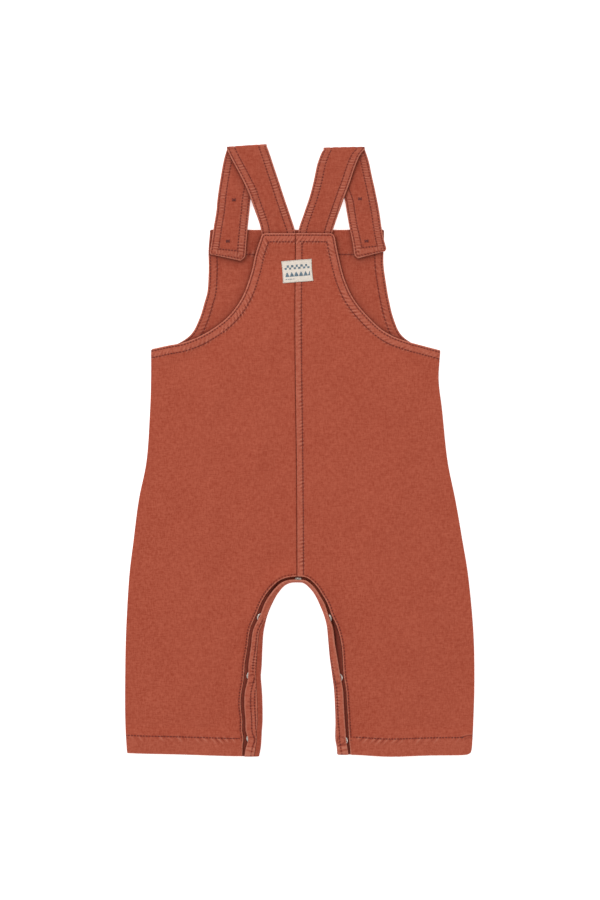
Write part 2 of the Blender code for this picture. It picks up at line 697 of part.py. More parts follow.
def make_back(name, side, material):
    """One side of the back, from the centre seam to the side seam."""
    left = side < 0
    armhole = BACK_LEFT_CURVE if left else BACK_RIGHT_CURVE
    side_seam = LEFT_SIDE_CURVE if left else RIGHT_SIDE_CURVE
    hem_curve = LEFT_HEM_CURVE if left else RIGHT_HEM_CURVE
    seam = SEAM_CURVE + np.array([side * GAP / 2, 0.0])
    middle = len(STATIONS) // 2
    edge = BACK_EDGE[:middle] if left else BACK_EDGE[middle:][::-1]
    beside = edge[:, 0] < seam[-1, 0] - 2.0 if left else edge[:, 0] > seam[-1, 0] + 2.0
    edge = edge[beside]
    hem = hem_up_to(hem_curve, edge[0, 0])
    over_crotch = BACK_EDGE[np.abs(BACK_EDGE[:, 0]) < CROTCH_HALF]
    crotch = [seam[-1, 0], np.interp(seam[-1, 0], over_crotch[:, 0], over_crotch[:, 1])]
    outer = armhole[0, 0] + (0.9 if left else -0.9)
    corner = rounded_corner((outer, BACK_TOP), armhole[0], (seam[0, 0], BACK_TOP), BACK_CORNER_ROUND)
    outline = np.vstack([
        seam[1:],
        [crotch],
        edge[::-1],
        hem[::-1][1:],
        side_seam[::-1][1:],
        armhole[::-1][1:],
        corner,
        straight(corner[-1], (seam[0, 0], BACK_TOP), EDGE_STEP)[1:],
    ])
    if not left:
        outline = outline[::-1]
    creases = [*turned_creases(armhole, ARMHOLE_TURN, left)]
    creases = [line[line[:, 1] < BACK_TOP - ARMHOLE_TURN - 3.0] for line in creases]
    roots_start = STRAP_ROOT_END - ROOT_FADE
    neck_turn = BACK_TOP - ARMHOLE_TURN
    for height in (neck_turn, neck_turn - TURN_STEP, roots_start + 6.0, roots_start):
        start, end = sorted((seam[0, 0] + side * 6.5, armhole[0, 0] - side * 9.0))
        creases.append(straight((start, height), (end, height), EDGE_STEP))
    creases += hem_creases()
    if not left:
        for across in (SEAM_WIDTH, SEAM_WIDTH + TURN_STEP):
            shifted = SEAM_CURVE + np.array([across, 0.0])
            creases.append(shifted[shifted[:, 1] < BACK_TOP - ARMHOLE_TURN - 3.0])
    flat, faces, _ = filled(outline, creases)
    thickness = back_thickness(flat)
    base = back_bottom(flat) + CLOTH / 2
    points = np.column_stack([flat, base])
    return cloth_wall(name, points, faces, thickness - CLOTH / 2, np.full(len(points), CLOTH / 2), material)


def make_front_band(material):
    """The front's inseam band: the free edge of the lap, from hem to hem."""
    columns = 5
    rows = []
    for station in range(len(STATIONS)):
        section = part_of_path(turned_path(station), 0.0, front_band_width(station), columns)
        rows.append(in_space(station, section))
    faces = strip_faces(len(STATIONS), columns)
    half = FRONT_BAND_THICK / 2
    return cloth_wall("front_inseam_band", np.vstack(rows), faces, half, half, material)


def make_back_band(material):
    """The back's inseam band: under the lap, from the back's edge towards the fold."""
    columns = 3
    half = BACK_BAND_THICK / 2
    low = CLOTH + GAP + half
    rows = []
    for station in range(len(STATIONS)):
        standing = STANDING[station]
        under_back = smooth_step((standing - 0.9) / 0.1)
        edge = LAPS[station] + SPREADS[station] - GAP + UNDER_BACK_SHIFT * under_back
        start = np.array([edge, low + (BACK_EDGE_LIFT - UNDER_BACK_DROP) * standing])
        lying_end = max(half + CLOTH + GAP, edge - BACK_BAND_WIDTH)
        end = np.array([lying_end + (edge - 0.4 - lying_end) * standing, low + 0.35 * standing])
        rows.append(in_space(station, np.linspace(start, end, columns)))
    faces = strip_faces(len(STATIONS), columns)
    return cloth_wall("back_inseam_band", np.vstack(rows), faces, half, half, material)


def snap_stations():
    """The stations of the snaps, down the left leg, at the crotch and down the right leg."""
    middle = len(STATIONS) // 2
    left_leg = FOLD_LINE[:middle - 4, 1]
    right_leg = FOLD_LINE[middle + 4:, 1]
    found = [int(np.abs(left_leg - height).argmin()) for height in LEFT_SNAP_HEIGHTS]
    found.append(int(np.abs(FOLD_LINE[:, 0] - CROTCH_SNAP_X).argmin()))
    found += [middle + 4 + int(np.abs(right_leg - height).argmin()) for height in RIGHT_SNAP_HEIGHTS]
    return found


def make_snap(name, station, material):
    """A snap between the two bands: two flanges and the hub that holds them together."""
    path = turned_path(station)
    free, here, far = part_of_path(path, 0.0, 2 * (SNAP_RADIUS - SNAP_SHOWS), 3)
    along = (far - free) / np.linalg.norm(far - free)
    down = np.array([-along[1], along[0]])
    thick = SNAP_THICK_FLAT + (SNAP_THICK_STANDING - SNAP_THICK_FLAT) * STANDING[station]
    room = GAP + SNAP_STANDING_ROOM * STANDING[station]
    middle = here + down * (FRONT_BAND_THICK / 2 + room + thick / 2)
    place = in_space(station, middle[None])[0]
    axis = Vector((*(down[0] * INWARD[station]), down[1])).normalized()
    half = thick / 2
    flange = 0.3
    hub = 0.62 * SNAP_RADIUS
    top_flange = [(0.0, half), (SNAP_RADIUS - 0.2, half), (SNAP_RADIUS, half - 0.15)]
    top_flange += [(SNAP_RADIUS - 0.1, half - flange), (hub, half - flange)]
    profile = top_flange + [(radius, -height) for radius, height in reversed(top_flange)]
    snap = turned(name, profile, 16, material)
    turn = axis.to_track_quat("Z", "Y").to_matrix().to_4x4()
    snap.matrix_world = Matrix.Translation(Vector(place) * MM) @ turn
    return snap


def turned(name, profile, sides, material):
    """A body turned about Z from a profile of radius and height, from its top middle to its bottom middle."""
    vertices = []
    faces = []
    rings = []
    for radius, height in profile:
        if radius == 0.0:
            rings.append([len(vertices)])
            vertices.append((0.0, 0.0, height))
            continue
        rings.append(list(range(len(vertices), len(vertices) + sides)))
        for i in range(sides):
            angle = 2 * math.pi * i / sides
            vertices.append((radius * math.cos(angle), radius * math.sin(angle), height))
    for upper, lower in zip(rings, rings[1:]):
        for i in range(sides):
            j = (i + 1) % sides
            if len(upper) == 1:
                faces.append((upper[0], lower[i], lower[j]))
            elif len(lower) == 1:
                faces.append((upper[j], upper[i], lower[0]))
            else:
                faces.append((upper[j], upper[i], lower[i], lower[j]))
    return add_mesh(name, vertices, faces, material)


def tops_of(*pieces):
    """A search tree of finished pieces, in millimetres."""
    points = []
    faces = []
    for piece in pieces:
        first = len(points)
        points += [piece.matrix_world @ vertex.co / MM for vertex in piece.data.vertices]
        faces += [tuple(first + index for index in face.vertices) for face in piece.data.polygons]
    return BVHTree.FromPolygons(points, faces)


def height_over(tree, points, reach):
    """Highest place of the pieces in a tree, within a reach of each point."""
    offsets = [(0.0, 0.0)]
    for angle in np.linspace(0.0, 2 * math.pi, 8, endpoint=False):
        offsets.append((reach * math.cos(angle), reach * math.sin(angle)))
    down = Vector((0.0, 0.0, -1.0))
    heights = []
    for x, y in np.asarray(points)[:, :2]:
        hits = [tree.ray_cast(Vector((x + dx, y + dy, 50.0)), down)[0] for dx, dy in offsets]
        heights.append(max([hit.z for hit in hits if hit is not None], default=0.0))
    return np.array(heights)


def falling_bottom(points, below):
    """Underside of a strap's outer part: on the surface, over its buttons and over the bib's top edge."""
    past_edge = points[:, 1] - BIB_TOP
    bib = front_top(points, STEP_REACH) * smooth_step((BIB_EDGE_FALL - past_edge) / (BIB_EDGE_FALL - 8.0))
    resting = np.maximum(bib + GAP, np.maximum(button_bump(points, False), button_bump(points, True)))
    return np.maximum(resting, height_over(below, points, STRAP_STEP / 2) + GAP)


def rising_bottom(points, outer_edge, side, below):
    """Underside of a strap's inner part: over its own outer part, then down to the bib's top edge."""
    across = (points[:, 0] - np.interp(points[:, 1], outer_edge[:, 1], outer_edge[:, 0])) * side
    covered = smooth_step(1.0 - across / 14.0)
    on_outer = (falling_bottom(points, below) + DOUBLE_CLOTH + GAP) * covered
    at_bib = np.full(len(points), CLOTH + TURNED_RISE) + button_bump(points, True)
    return np.maximum(on_outer, np.maximum(at_bib, height_over(below, points, STRAP_STEP / 2)) + GAP)


def make_strap(name, rising, fold, falling, side, below, material):
    """A strap of double cloth, folded over at the shoulder."""
    half = DOUBLE_CLOTH / 2
    columns = 6
    fold_left, fold_right = np.array(fold[:2]), np.array(fold[2:])
    line = (fold_right - fold_left) / np.linalg.norm(fold_right - fold_left)
    up = np.array([-line[1], line[0]])
    inner_edge = np.array([row[2:] if side > 0 else row[:2] for row in [fold, *falling]])[::-1]
    edge_heights = inner_edge[:, 1]
    outer_edge = inner_edge[np.argsort(edge_heights)]
    ends = np.linspace(0.0, 1.0, columns)[:, None]

    def across(row):
        return row[:2] + (row[2:] - row[:2]) * ends

    def rows_of(table, near_fold_first):
        fold_row = np.array([*(fold_left - up * near), *(fold_right - up * near)])
        table = [fold_row, *table] if near_fold_first else [*table, fold_row]
        middles = np.array([[(r[0] + r[2]) / 2, (r[1] + r[3]) / 2, *r] for r in np.array(table)])
        return curve_through(middles, STRAP_STEP)[:, 2:]

    fold_points = across(np.array(fold, dtype=float))
    high = rising_bottom(fold_points, outer_edge, side, below).mean() + half
    low = falling_bottom(fold_points, below).mean() + half
    radius = (high - low) / 2
    near = radius + half
    rows = []
    for row in rows_of([tuple(r) for r in rising], False):
        flat = across(row)
        fade = smooth_step((flat[:, 1] - fold_points[:, 1] + near + 12.0) / 12.0)
        height = rising_bottom(flat, outer_edge, side, below) + half
        rows.append(np.column_stack([flat, height * (1 - fade) + high * fade]))
    for angle in np.linspace(math.pi / 2, -math.pi / 2, 7)[1:-1]:
        flat = fold_points - up * near + up * radius * math.cos(angle)
        rows.append(np.column_stack([flat, np.full(columns, (high + low) / 2 + radius * math.sin(angle))]))
    for row in rows_of([tuple(r) for r in falling], True):
        flat = across(row)
        fade = smooth_step((flat[:, 1] - fold_points[:, 1] + near + 12.0) / 12.0)
        height = falling_bottom(flat, below) + half
        rows.append(np.column_stack([flat, height * (1 - fade) + low * fade]))
    return cloth_wall(name, np.vstack(rows), strip_faces(len(rows), columns), half, half, material)


def make_button(name, button, material):
    """A flat round button with a raised rim, and the thread shank of one that goes through the bib."""
    top = BUTTON_THICK
    profile = [(0.0, top)]
    if button.through_bib:
        bib = front_top(np.array([[button.x, button.y]]))[0]
        profile = [(0.0, bib), (SHANK_RADIUS, bib), (SHANK_RADIUS, top)]
    profile += [(BUTTON_RADIUS - 0.6, top), (BUTTON_RADIUS, top - 0.5), (BUTTON_RADIUS, 0.6),
                (BUTTON_RADIUS - 0.5, 0.0), (BUTTON_RADIUS - BUTTON_RIM, 0.0),
                (BUTTON_RADIUS - BUTTON_RIM - 0.6, 0.6), (0.0, 0.6)]
    made = turned(name, profile, 20, material)
    made.location = (button.x * MM, button.y * MM, 0.0)
    return made


def make_label(below, material):
    """The woven label, on the points of the back moved out."""
    columns = round(LABEL_WIDTH / LABEL_STEP) + 1
    rows = round(LABEL_HEIGHT / LABEL_STEP) + 1
    flat = []
    for y in np.linspace(-LABEL_HEIGHT / 2, LABEL_HEIGHT / 2, rows):
        for x in np.linspace(-LABEL_WIDTH / 2, LABEL_WIDTH / 2, columns):
            flat.append((LABEL_CENTRE.x + x * math.cos(LABEL_TILT) - y * math.sin(LABEL_TILT),
                         LABEL_CENTRE.y + x * math.sin(LABEL_TILT) + y * math.cos(LABEL_TILT)))
    flat = np.array(flat)
    highest = height_over(below, flat, LABEL_STEP)
    half = LABEL_THICK / 2
    points = np.column_stack([flat, highest + GAP + half])
    return cloth_wall("label", points, strip_faces(rows, columns), half, half, material)


def clear_scene():
    for obj in list(bpy.data.objects):
        bpy.data.objects.remove(obj)


def main():
    clear_scene()
    cloth = make_material("washed_cloth", CLOTH_COLOUR, 0.86)
    band = make_material("washed_band", BAND_COLOUR, 0.84)
    metal = make_material("snap_metal", METAL_COLOUR, 0.32, 1.0)
    woven = make_material("label_weave", LABEL_COLOUR, 0.7)
    button = make_material("button_plastic", BUTTON_COLOUR, 0.4)
    front = make_front(cloth)
    back_left = make_back("back_left", -1, cloth)
    back_right = make_back("back_right", 1, cloth)
    make_front_band(band)
    make_back_band(band)
    for number, place in enumerate(BUTTONS, 1):
        make_button(f"button_{number}", place, button)
    bib = tops_of(front)
    make_strap("strap_left", LEFT_STRAP_RISING, LEFT_STRAP_FOLD, LEFT_STRAP_FALLING, 1, bib, band)
    make_strap("strap_right", RIGHT_STRAP_RISING, RIGHT_STRAP_FOLD, RIGHT_STRAP_FALLING, -1, bib, band)
    for number, station in enumerate(snap_stations(), 1):
        make_snap(f"snap_{number}", station, metal)
    make_label(tops_of(back_left, back_right), woven)


main()
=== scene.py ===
# The looks of the baby overalls, laid flat on their front with the back up.
#
# Lengths in the tables are in millimetres, in the frame of the solids: X across, Y from the hems to the
# shoulders, Z up from the surface. Each piece of cloth is a dense shell on the form of its solid, with
# the turned edges, sewing and puckers raised in it.

import math
from collections import namedtuple

import bpy
import numpy as np
from mathutils import Matrix, Vector
from mathutils.bvhtree import BVHTree
from mathutils.geometry import delaunay_2d_cdt


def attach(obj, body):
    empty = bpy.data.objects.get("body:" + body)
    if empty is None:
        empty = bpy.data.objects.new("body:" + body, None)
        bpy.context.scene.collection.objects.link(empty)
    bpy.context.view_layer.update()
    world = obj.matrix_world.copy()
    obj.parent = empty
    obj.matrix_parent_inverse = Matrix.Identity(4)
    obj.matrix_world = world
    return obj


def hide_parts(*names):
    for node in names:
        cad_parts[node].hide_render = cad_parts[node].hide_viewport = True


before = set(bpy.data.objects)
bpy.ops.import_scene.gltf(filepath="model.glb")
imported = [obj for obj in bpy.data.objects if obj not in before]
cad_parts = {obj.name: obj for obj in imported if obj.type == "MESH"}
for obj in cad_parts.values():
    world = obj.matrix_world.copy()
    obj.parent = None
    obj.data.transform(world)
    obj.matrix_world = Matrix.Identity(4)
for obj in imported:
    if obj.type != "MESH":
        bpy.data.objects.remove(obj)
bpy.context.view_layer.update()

MM = 0.001
CLOTH = 1.1
GAP = 0.3
EDGE_ROUND = 0.42
DOUBLE_CLOTH = 2.0
TURNED_RISE = 0.7

# Stitch rows, by their distance from the turned edge
OUTER_ROW = 1.7
INNER_ROW = 7.3
STRAP_INNER_ROW = 6.9
BIB_HEM_ROW = 21.0
LEG_HEM_ROW = 15.2
SEAM_ROW = 5.3
TURN_END = 0.8
STITCH_PITCH = 2.55
STITCH_LENGTH = 1.6
THREAD_RADIUS = 0.3
# Rings of a stitch: how far along it, the height over the cloth, and the share of the thread's radius
STITCH_RINGS = ((0.0, -0.28, 0.35), (0.14, 0.02, 0.9), (0.5, 0.17, 1.0), (0.86, 0.02, 0.9), (1.0, -0.28, 0.35))

FINE = 1.15
COARSE = 6.0
NO_SEAM = 30.0
UP = np.array([0.0, 0.0, 1.0])

BIB_TOP = 187.8
BACK_TOP = 184.5

Side = namedtuple("Side", "height left right")
SIDES = [
    Side(85.2, -126.2, 119.7),
    Side(59.9, -126.3, 118.4),
    Side(34.4, -127.1, 121.3),
    Side(-8.1, -130.0, 125.8),
    Side(-42.1, -136.7, 132.6),
    Side(-76.1, -141.1, 138.5),
    Side(-108.4, -144.9, 143.7),
    Side(-154.3, -147.5, 147.9),
    Side(-195.1, -148.3, 148.8),
    Side(-229.1, -148.2, 147.9),
    Side(-252.0, -147.0, 146.6),
    Side(-257.3, -146.4, 145.4),
]

Edge = namedtuple("Edge", "x y")
LEFT_HEM = [Edge(-146.4, -257.3), Edge(-130.0, -257.9), Edge(-101.6, -258.5), Edge(-62.0, -259.8), Edge(-34.0, -260.1)]
RIGHT_HEM = [
    Edge(145.4, -257.3), Edge(139.0, -259.0), Edge(110.0, -259.4), Edge(76.9, -260.4), Edge(50.0, -259.0),
    Edge(32.0, -258.4),
]
BACK_ARMHOLE_LEFT = [
    Edge(-32.9, 180.5), Edge(-37.6, 166.4), Edge(-41.1, 150.9), Edge(-48.9, 130.0), Edge(-61.9, 112.6),
    Edge(-80.1, 99.6), Edge(-97.3, 92.2), Edge(-112.0, 89.2), Edge(-126.2, 86.1),
]
BACK_ARMHOLE_RIGHT = [
    Edge(30.1, 180.5), Edge(33.1, 165.5), Edge(38.7, 144.3), Edge(48.0, 125.9), Edge(64.5, 107.5),
    Edge(77.4, 98.2), Edge(90.4, 93.1), Edge(106.0, 88.8), Edge(119.7, 85.2),
]
BIB_ARMHOLE_LEFT = [
    Edge(-76.1, 184.9), Edge(-77.3, 169.6), Edge(-77.3, 153.4), Edge(-78.2, 136.4), Edge(-80.8, 126.2),
    Edge(-85.0, 112.6), Edge(-91.8, 99.4), Edge(-103.5, 90.9), Edge(-115.0, 87.6), Edge(-126.2, 84.8),
]
BIB_ARMHOLE_RIGHT = [
    Edge(71.8, 184.9), Edge(71.4, 160.2), Edge(74.0, 139.8), Edge(76.5, 126.2), Edge(79.9, 112.6),
    Edge(85.8, 99.4), Edge(96.4, 91.0), Edge(108.0, 87.2), Edge(119.7, 84.4),
]
CENTRE_SEAM = [
    Edge(-3.0, 184.5), Edge(-3.5, 150.0), Edge(-3.8, 112.0), Edge(-3.4, 60.0), Edge(-2.6, 0.0), Edge(-2.1, -60.0),
    Edge(-2.0, -107.0),
]

# The inseam opening, from the left hem over the crotch to the right hem: where the front's cloth folds up,
# the width that it covers from there, the gap on to the back's edge, and how far its edge stands up
Inseam = namedtuple("Inseam", "fold_x fold_y lap spread rise")
INSEAM = [
    Inseam(-34.3, -260.0, 13.0, 1.2, 0.2),
    Inseam(-32.9, -253.0, 13.0, 2.5, 0.2),
    Inseam(-32.3, -246.0, 11.9, 3.4, 0.0),
    Inseam(-31.9, -238.4, 14.4, 2.3, 0.5),
    Inseam(-31.3, -229.1, 15.2, 2.0, 0.9),
    Inseam(-31.4, -215.5, 16.0, 2.4, 1.0),
    Inseam(-31.9, -203.6, 15.0, 2.1, 0.7),
    Inseam(-32.8, -192.1, 11.4, 2.9, 0.0),
    Inseam(-32.0, -181.5, 11.8, 2.5, 0.6),
    Inseam(-31.4, -166.2, 10.3, 2.1, 0.8),
    Inseam(-30.4, -153.9, 9.6, 2.0, 0.6),
    Inseam(-27.6, -141.3, 6.5, 2.6, 0.0),
    Inseam(-23.8, -131.6, 6.5, 2.2, 0.4),
    Inseam(-19.3, -123.0, 5.4, 2.4, 0.5),
    Inseam(-14.2, -115.9, 3.9, 2.2, 0.4),
    Inseam(-8.4, -112.5, 2.8, 2.1, 0.2),
    Inseam(-0.6, -112.0, 2.4, 2.5, 0.0),
    Inseam(4.6, -113.0, 2.9, 2.2, 0.3),
    Inseam(10.4, -118.4, 3.2, 2.0, 0.5),
    Inseam(14.2, -124.2, 3.3, 2.0, 0.5),
    Inseam(17.9, -132.2, 4.1, 2.1, 0.3),
    Inseam(21.6, -141.6, 3.5, 2.5, 0.0),
    Inseam(23.4, -151.3, 5.3, 3.4, 0.6),
    Inseam(24.6, -164.5, 6.0, 4.8, 0.9),
    Inseam(25.7, -176.4, 7.0, 3.9, 0.8),
    Inseam(27.9, -192.5, 7.5, 2.2, 0.0),
    Inseam(29.3, -203.6, 8.2, 1.9, 0.6),
    Inseam(30.1, -218.0, 8.2, 2.1, 0.8),
    Inseam(30.5, -230.8, 8.6, 2.1, 0.7),
    Inseam(30.3, -240.1, 9.6, 1.8, 0.3),
    Inseam(30.4, -246.1, 9.6, 2.0, 0.0),
    Inseam(31.5, -252.0, 9.5, 1.6, 0.2),
    Inseam(32.0, -258.5, 10.1, 1.1, 0.2),
]
STATION_STEP = 1.25
LAP_FLAT = 9.0
LAP_STANDING = 3.0
TURN_RADIUS = 2.35
FREE_EDGE_FLAT = 5.5
FREE_EDGE_STANDING = 7.6
STANDING_ANGLE = math.radians(78.0)
BACK_EDGE_LIFT = 4.1
BACK_EDGE_LIFT_REACH = 9.0
FRONT_BAND_THICK = 1.2
BACK_BAND_THICK = 1.2
BACK_BAND_WIDTH = 10.0
FRONT_TURN_START = 8.0
LEAST_BAND = 5.5
LEFT_SEAM_FROM_FOLD = 5.0
RIGHT_SEAM_FROM_FOLD = 1.3
BAND_ROWS = (5.4, 8.7)
UPPER_BAND_ROWS = (3.9, 6.4)
EDGE_RIDGE = 0.6
EDGE_GROOVE = 1.75

MIDDLE_SNAP_HEIGHT = -190.5
UPPER_SNAP_HEIGHT = -143.0
IMPRINTS = [Edge(-34.5, -145.1), Edge(-41.4, -194.3), Edge(-40.4, -246.1), Edge(32.7, -194.5), Edge(35.4, -246.1)]
IMPRINT_RADIUS = 3.1

Snap = namedtuple("Snap", "x y")
SNAPS = [
    Snap(-45.6, -245.1), Snap(-45.2, -191.3), Snap(-35.2, -140.5), Snap(-0.5, -109.2), Snap(25.9, -142.4),
    Snap(36.1, -192.3), Snap(40.8, -246.0),
]
SNAP_RADIUS = 3.7

Strap = namedtuple("Strap", "left_x left_y right_x right_y")
LEFT_STRAP_RISING = [
    Strap(-31.2, 177.0, -2.6, 177.0),
    Strap(-32.5, 185.0, -3.5, 185.6),
    Strap(-34.1, 192.9, -7.3, 198.0),
    Strap(-40.8, 212.1, -13.6, 216.6),
    Strap(-44.2, 221.1, -17.0, 227.2),
    Strap(-50.4, 234.0, -20.9, 238.8),
    Strap(-57.6, 247.4, -25.2, 251.8),
]
LEFT_STRAP_FOLD = Strap(-61.9, 258.3, -27.8, 260.6)
LEFT_STRAP_FALLING = [
    Strap(-64.4, 247.0, -32.6, 247.5),
    Strap(-66.8, 234.0, -37.6, 234.0),
    Strap(-69.5, 215.4, -41.4, 214.4),
    Strap(-70.7, 203.6, -42.6, 202.6),
    Strap(-72.8, 190.2, -43.9, 190.2),
    Strap(-74.7, 177.2, -45.2, 176.0),
    Strap(-75.8, 170.6, -45.8, 167.2),
    Strap(-76.1, 168.4, -46.6, 164.2),
    Strap(-75.6, 166.7, -50.2, 161.2),
]
RIGHT_STRAP_RISING = [
    Strap(-1.4, 177.0, 26.9, 177.0),
    Strap(-0.8, 187.6, 28.3, 186.6),
    Strap(3.5, 200.8, 32.6, 199.6),
    Strap(8.3, 214.9, 37.2, 212.8),
    Strap(11.9, 228.6, 42.2, 226.2),
    Strap(15.0, 243.0, 47.0, 240.6),
    Strap(18.6, 252.8, 51.4, 251.0),
]
RIGHT_STRAP_FOLD = Strap(20.3, 257.6, 55.5, 258.3)
RIGHT_STRAP_FALLING = [
    Strap(24.8, 247.0, 58.8, 246.6),
    Strap(30.4, 234.0, 61.6, 233.5),
    Strap(37.9, 214.6, 65.5, 214.9),
    Strap(40.2, 201.9, 68.1, 201.4),
    Strap(42.2, 190.7, 69.8, 188.6),
    Strap(45.0, 177.2, 71.8, 178.4),
    Strap(46.2, 169.0, 73.5, 172.6),
    Strap(47.0, 165.4, 73.5, 170.8),
    Strap(49.8, 163.2, 72.4, 169.2),
]
STRAP_FINE = 1.15
STRAP_COLUMNS = 27
STRAP_ROOT_END = 177.0
ROOT_FADE = 13.0
BIB_EDGE_FALL = 28.0

Button = namedtuple("Button", "x y through_bib")
BUTTONS = [
    Button(-55.7, 212.9, False),
    Button(-60.8, 177.7, True),
    Button(51.4, 213.8, False),
    Button(56.9, 177.7, True),
]
BUTTON_THICK = 2.4
BUMP_FLAT = 6.8
BUMP_REACH = 25.0
BUTTONHOLE_LENGTH = 14.0
BUTTONHOLE_WIDTH = 3.0

LABEL_WIDTH = 26.0
LABEL_HEIGHT = 18.8
LABEL_THICK = 0.7
LABEL_CENTRE = Edge(-1.9, 152.5)
LABEL_TILT = math.radians(4.6)
LABEL_STEP = 0.34

# Soft folds of the back, as lines with a height and half a width
Fold = namedtuple("Fold", "x1 y1 x2 y2 height half_width")
BACK_FOLDS = [
    Fold(-58.0, 96.0, -82.0, 30.0, 0.9, 13.0),
    Fold(52.0, 92.0, 74.0, 22.0, 0.8, 12.0),
    Fold(-92.0, 8.0, -66.0, -96.0, 0.7, 16.0),
    Fold(88.0, -6.0, 60.0, -104.0, 0.8, 16.0),
    Fold(-100.0, -150.0, -96.0, -236.0, 0.7, 14.0),
    Fold(96.0, -140.0, 88.0, -232.0, 0.8, 14.0),
    Fold(22.0, 60.0, 34.0, -40.0, 0.6, 12.0),
    Fold(-30.0, 70.0, -40.0, -30.0, 0.6, 12.0),
]
LOFT = 0.6
LOFT_REACH = 40.0

# Linear colours of the washed cloth
CLOTH_COLOUR = (0.410, 0.081, 0.043)
# pale: wear of the washed cloth, together with painted highlight on ridges, turned bands and pucker crests
PALE_COLOUR = (0.560, 0.190, 0.125)
# painted shade in the stitch grooves and in the troughs of the puckers
PAINTED_GROOVE_SHADE = (0.170, 0.020, 0.011)
# painted shadow: the colour that cloth is painted towards under and beside the layers of cloth above it
PAINTED_SHADE_COLOUR = (0.120, 0.018, 0.012)
THREAD_COLOUR = (0.130, 0.014, 0.009)
METAL_COLOUR = (0.66, 0.62, 0.57)
LABEL_CREAM = (0.84, 0.745, 0.645)
LABEL_SLATE = (0.085, 0.125, 0.155)


# Lines and distances

def smooth_step(value):
    """Rises softly from 0 to 1 as value goes from 0 to 1."""
    t = np.clip(value, 0.0, 1.0)
    return t * t * (3.0 - 2.0 * t)


def bell(value):
    """A soft bump of height 1 at 0, about 2 wide."""
    return np.exp(-np.square(value))


def even_steps(points, step=None, count=None):
    """The polyline's rows at even spacing along it, by step or by count."""
    lengths = np.linalg.norm(np.diff(points[:, :2], axis=0), axis=1)
    along = np.concatenate([[0.0], np.cumsum(lengths)])
    if count is None:
        count = max(2, round(along[-1] / step) + 1)
    targets = np.linspace(0.0, along[-1], count)
    return np.stack([np.interp(targets, along, column) for column in points.T], axis=1)


def curve_through(rows, step):
    """Rows at even steps on a smooth curve through the given rows, whose first two columns are the place."""
    knots = np.array(rows, dtype=float)
    padded = np.vstack([2 * knots[0] - knots[1], knots, 2 * knots[-1] - knots[-2]])
    fine = []
    for a, b, c, d in zip(padded[:-3], padded[1:-2], padded[2:-1], padded[3:]):
        for t in np.linspace(0.0, 1.0, 24, endpoint=False):
            fine.append(0.5 * (2 * b + (c - a) * t + (2 * a - 5 * b + 4 * c - d) * t**2
                               + (3 * b - a - 3 * c + d) * t**3))
    fine.append(knots[-1])
    return even_steps(np.array(fine), step)


def part_of_path(points, start, end, count):
    """Rows at even spacing on the stretch of a polyline between two lengths along it."""
    lengths = np.linalg.norm(np.diff(points, axis=0), axis=1)
    along = np.concatenate([[0.0], np.cumsum(lengths)])
    targets = np.linspace(start, min(end, along[-1]), count)
    return np.stack([np.interp(targets, along, column) for column in points.T], axis=1)


def distance_to(points, line, chunk=4000):
    """Each point's distance to a polyline, and the length along it of the nearest place."""
    points = np.asarray(points, dtype=float)[:, :2]
    line = np.asarray(line, dtype=float)[:, :2]
    start = line[:-1]
    run = line[1:] - start
    length = np.linalg.norm(run, axis=1)
    before = np.concatenate([[0.0], np.cumsum(length)[:-1]])
    away = np.empty(len(points))
    along = np.empty(len(points))
    for first in range(0, len(points), chunk):
        some = points[first:first + chunk]
        from_start = some[:, None, :] - start[None]
        share = np.clip((from_start * run).sum(-1) / length**2, 0.0, 1.0)
        gaps = np.linalg.norm(from_start - share[..., None] * run, axis=-1)
        nearest = gaps.argmin(axis=1)
        rows = np.arange(len(some))
        away[first:first + chunk] = gaps[rows, nearest]
        along[first:first + chunk] = before[nearest] + share[rows, nearest] * length[nearest]
    return away, along


def nearest_of(points, *lines):
    """The distance to the nearest of several lines, and the length along that line."""
    away, along = distance_to(points, lines[0])
    for number, line in enumerate(lines[1:], 1):
        other_away, other_along = distance_to(points, line)
        closer = other_away < away
        away = np.where(closer, other_away, away)
        along = np.where(closer, other_along + 400.0 * number, along)
    return away, along


def offset_line(line, distance):
    """The polyline moved to its left by a distance."""
    line = np.asarray(line, dtype=float)[:, :2]
    run = np.gradient(line, axis=0)
    run /= np.linalg.norm(run, axis=1)[:, None]
    return line + distance * np.stack([-run[:, 1], run[:, 0]], axis=1)


def inside(points, polygon):
    """Which of the points lie inside a polygon."""
    x, y = np.asarray(points, dtype=float).T
    result = np.zeros(len(x), dtype=bool)
    for (x1, y1), (x2, y2) in zip(polygon, np.roll(polygon, -1, axis=0)):
        if y1 != y2:
            crosses = (y1 > y) != (y2 > y)
            result ^= crosses & (x < (x2 - x1) * (y - y1) / (y2 - y1) + x1)
    return result


def uneven(points, size, seed=0):
    """Soft noise between about -1 and 1 over a plane or a line, from waves in several directions."""
    points = np.atleast_2d(np.asarray(points, dtype=float))
    x = points[:, 0]
    y = points[:, 1] if points.shape[1] > 1 else np.zeros(len(points))
    total = np.zeros(len(points))
    for number in range(6):
        angle = 2.399 * number + 0.7 * seed
        wave = 2 * math.pi / (size * (0.75 + 0.23 * number))
        total += np.sin(wave * (x * math.cos(angle) + y * math.sin(angle)) + 1.9 * number + 3.1 * seed)
    return total / 2.6


# Meshes

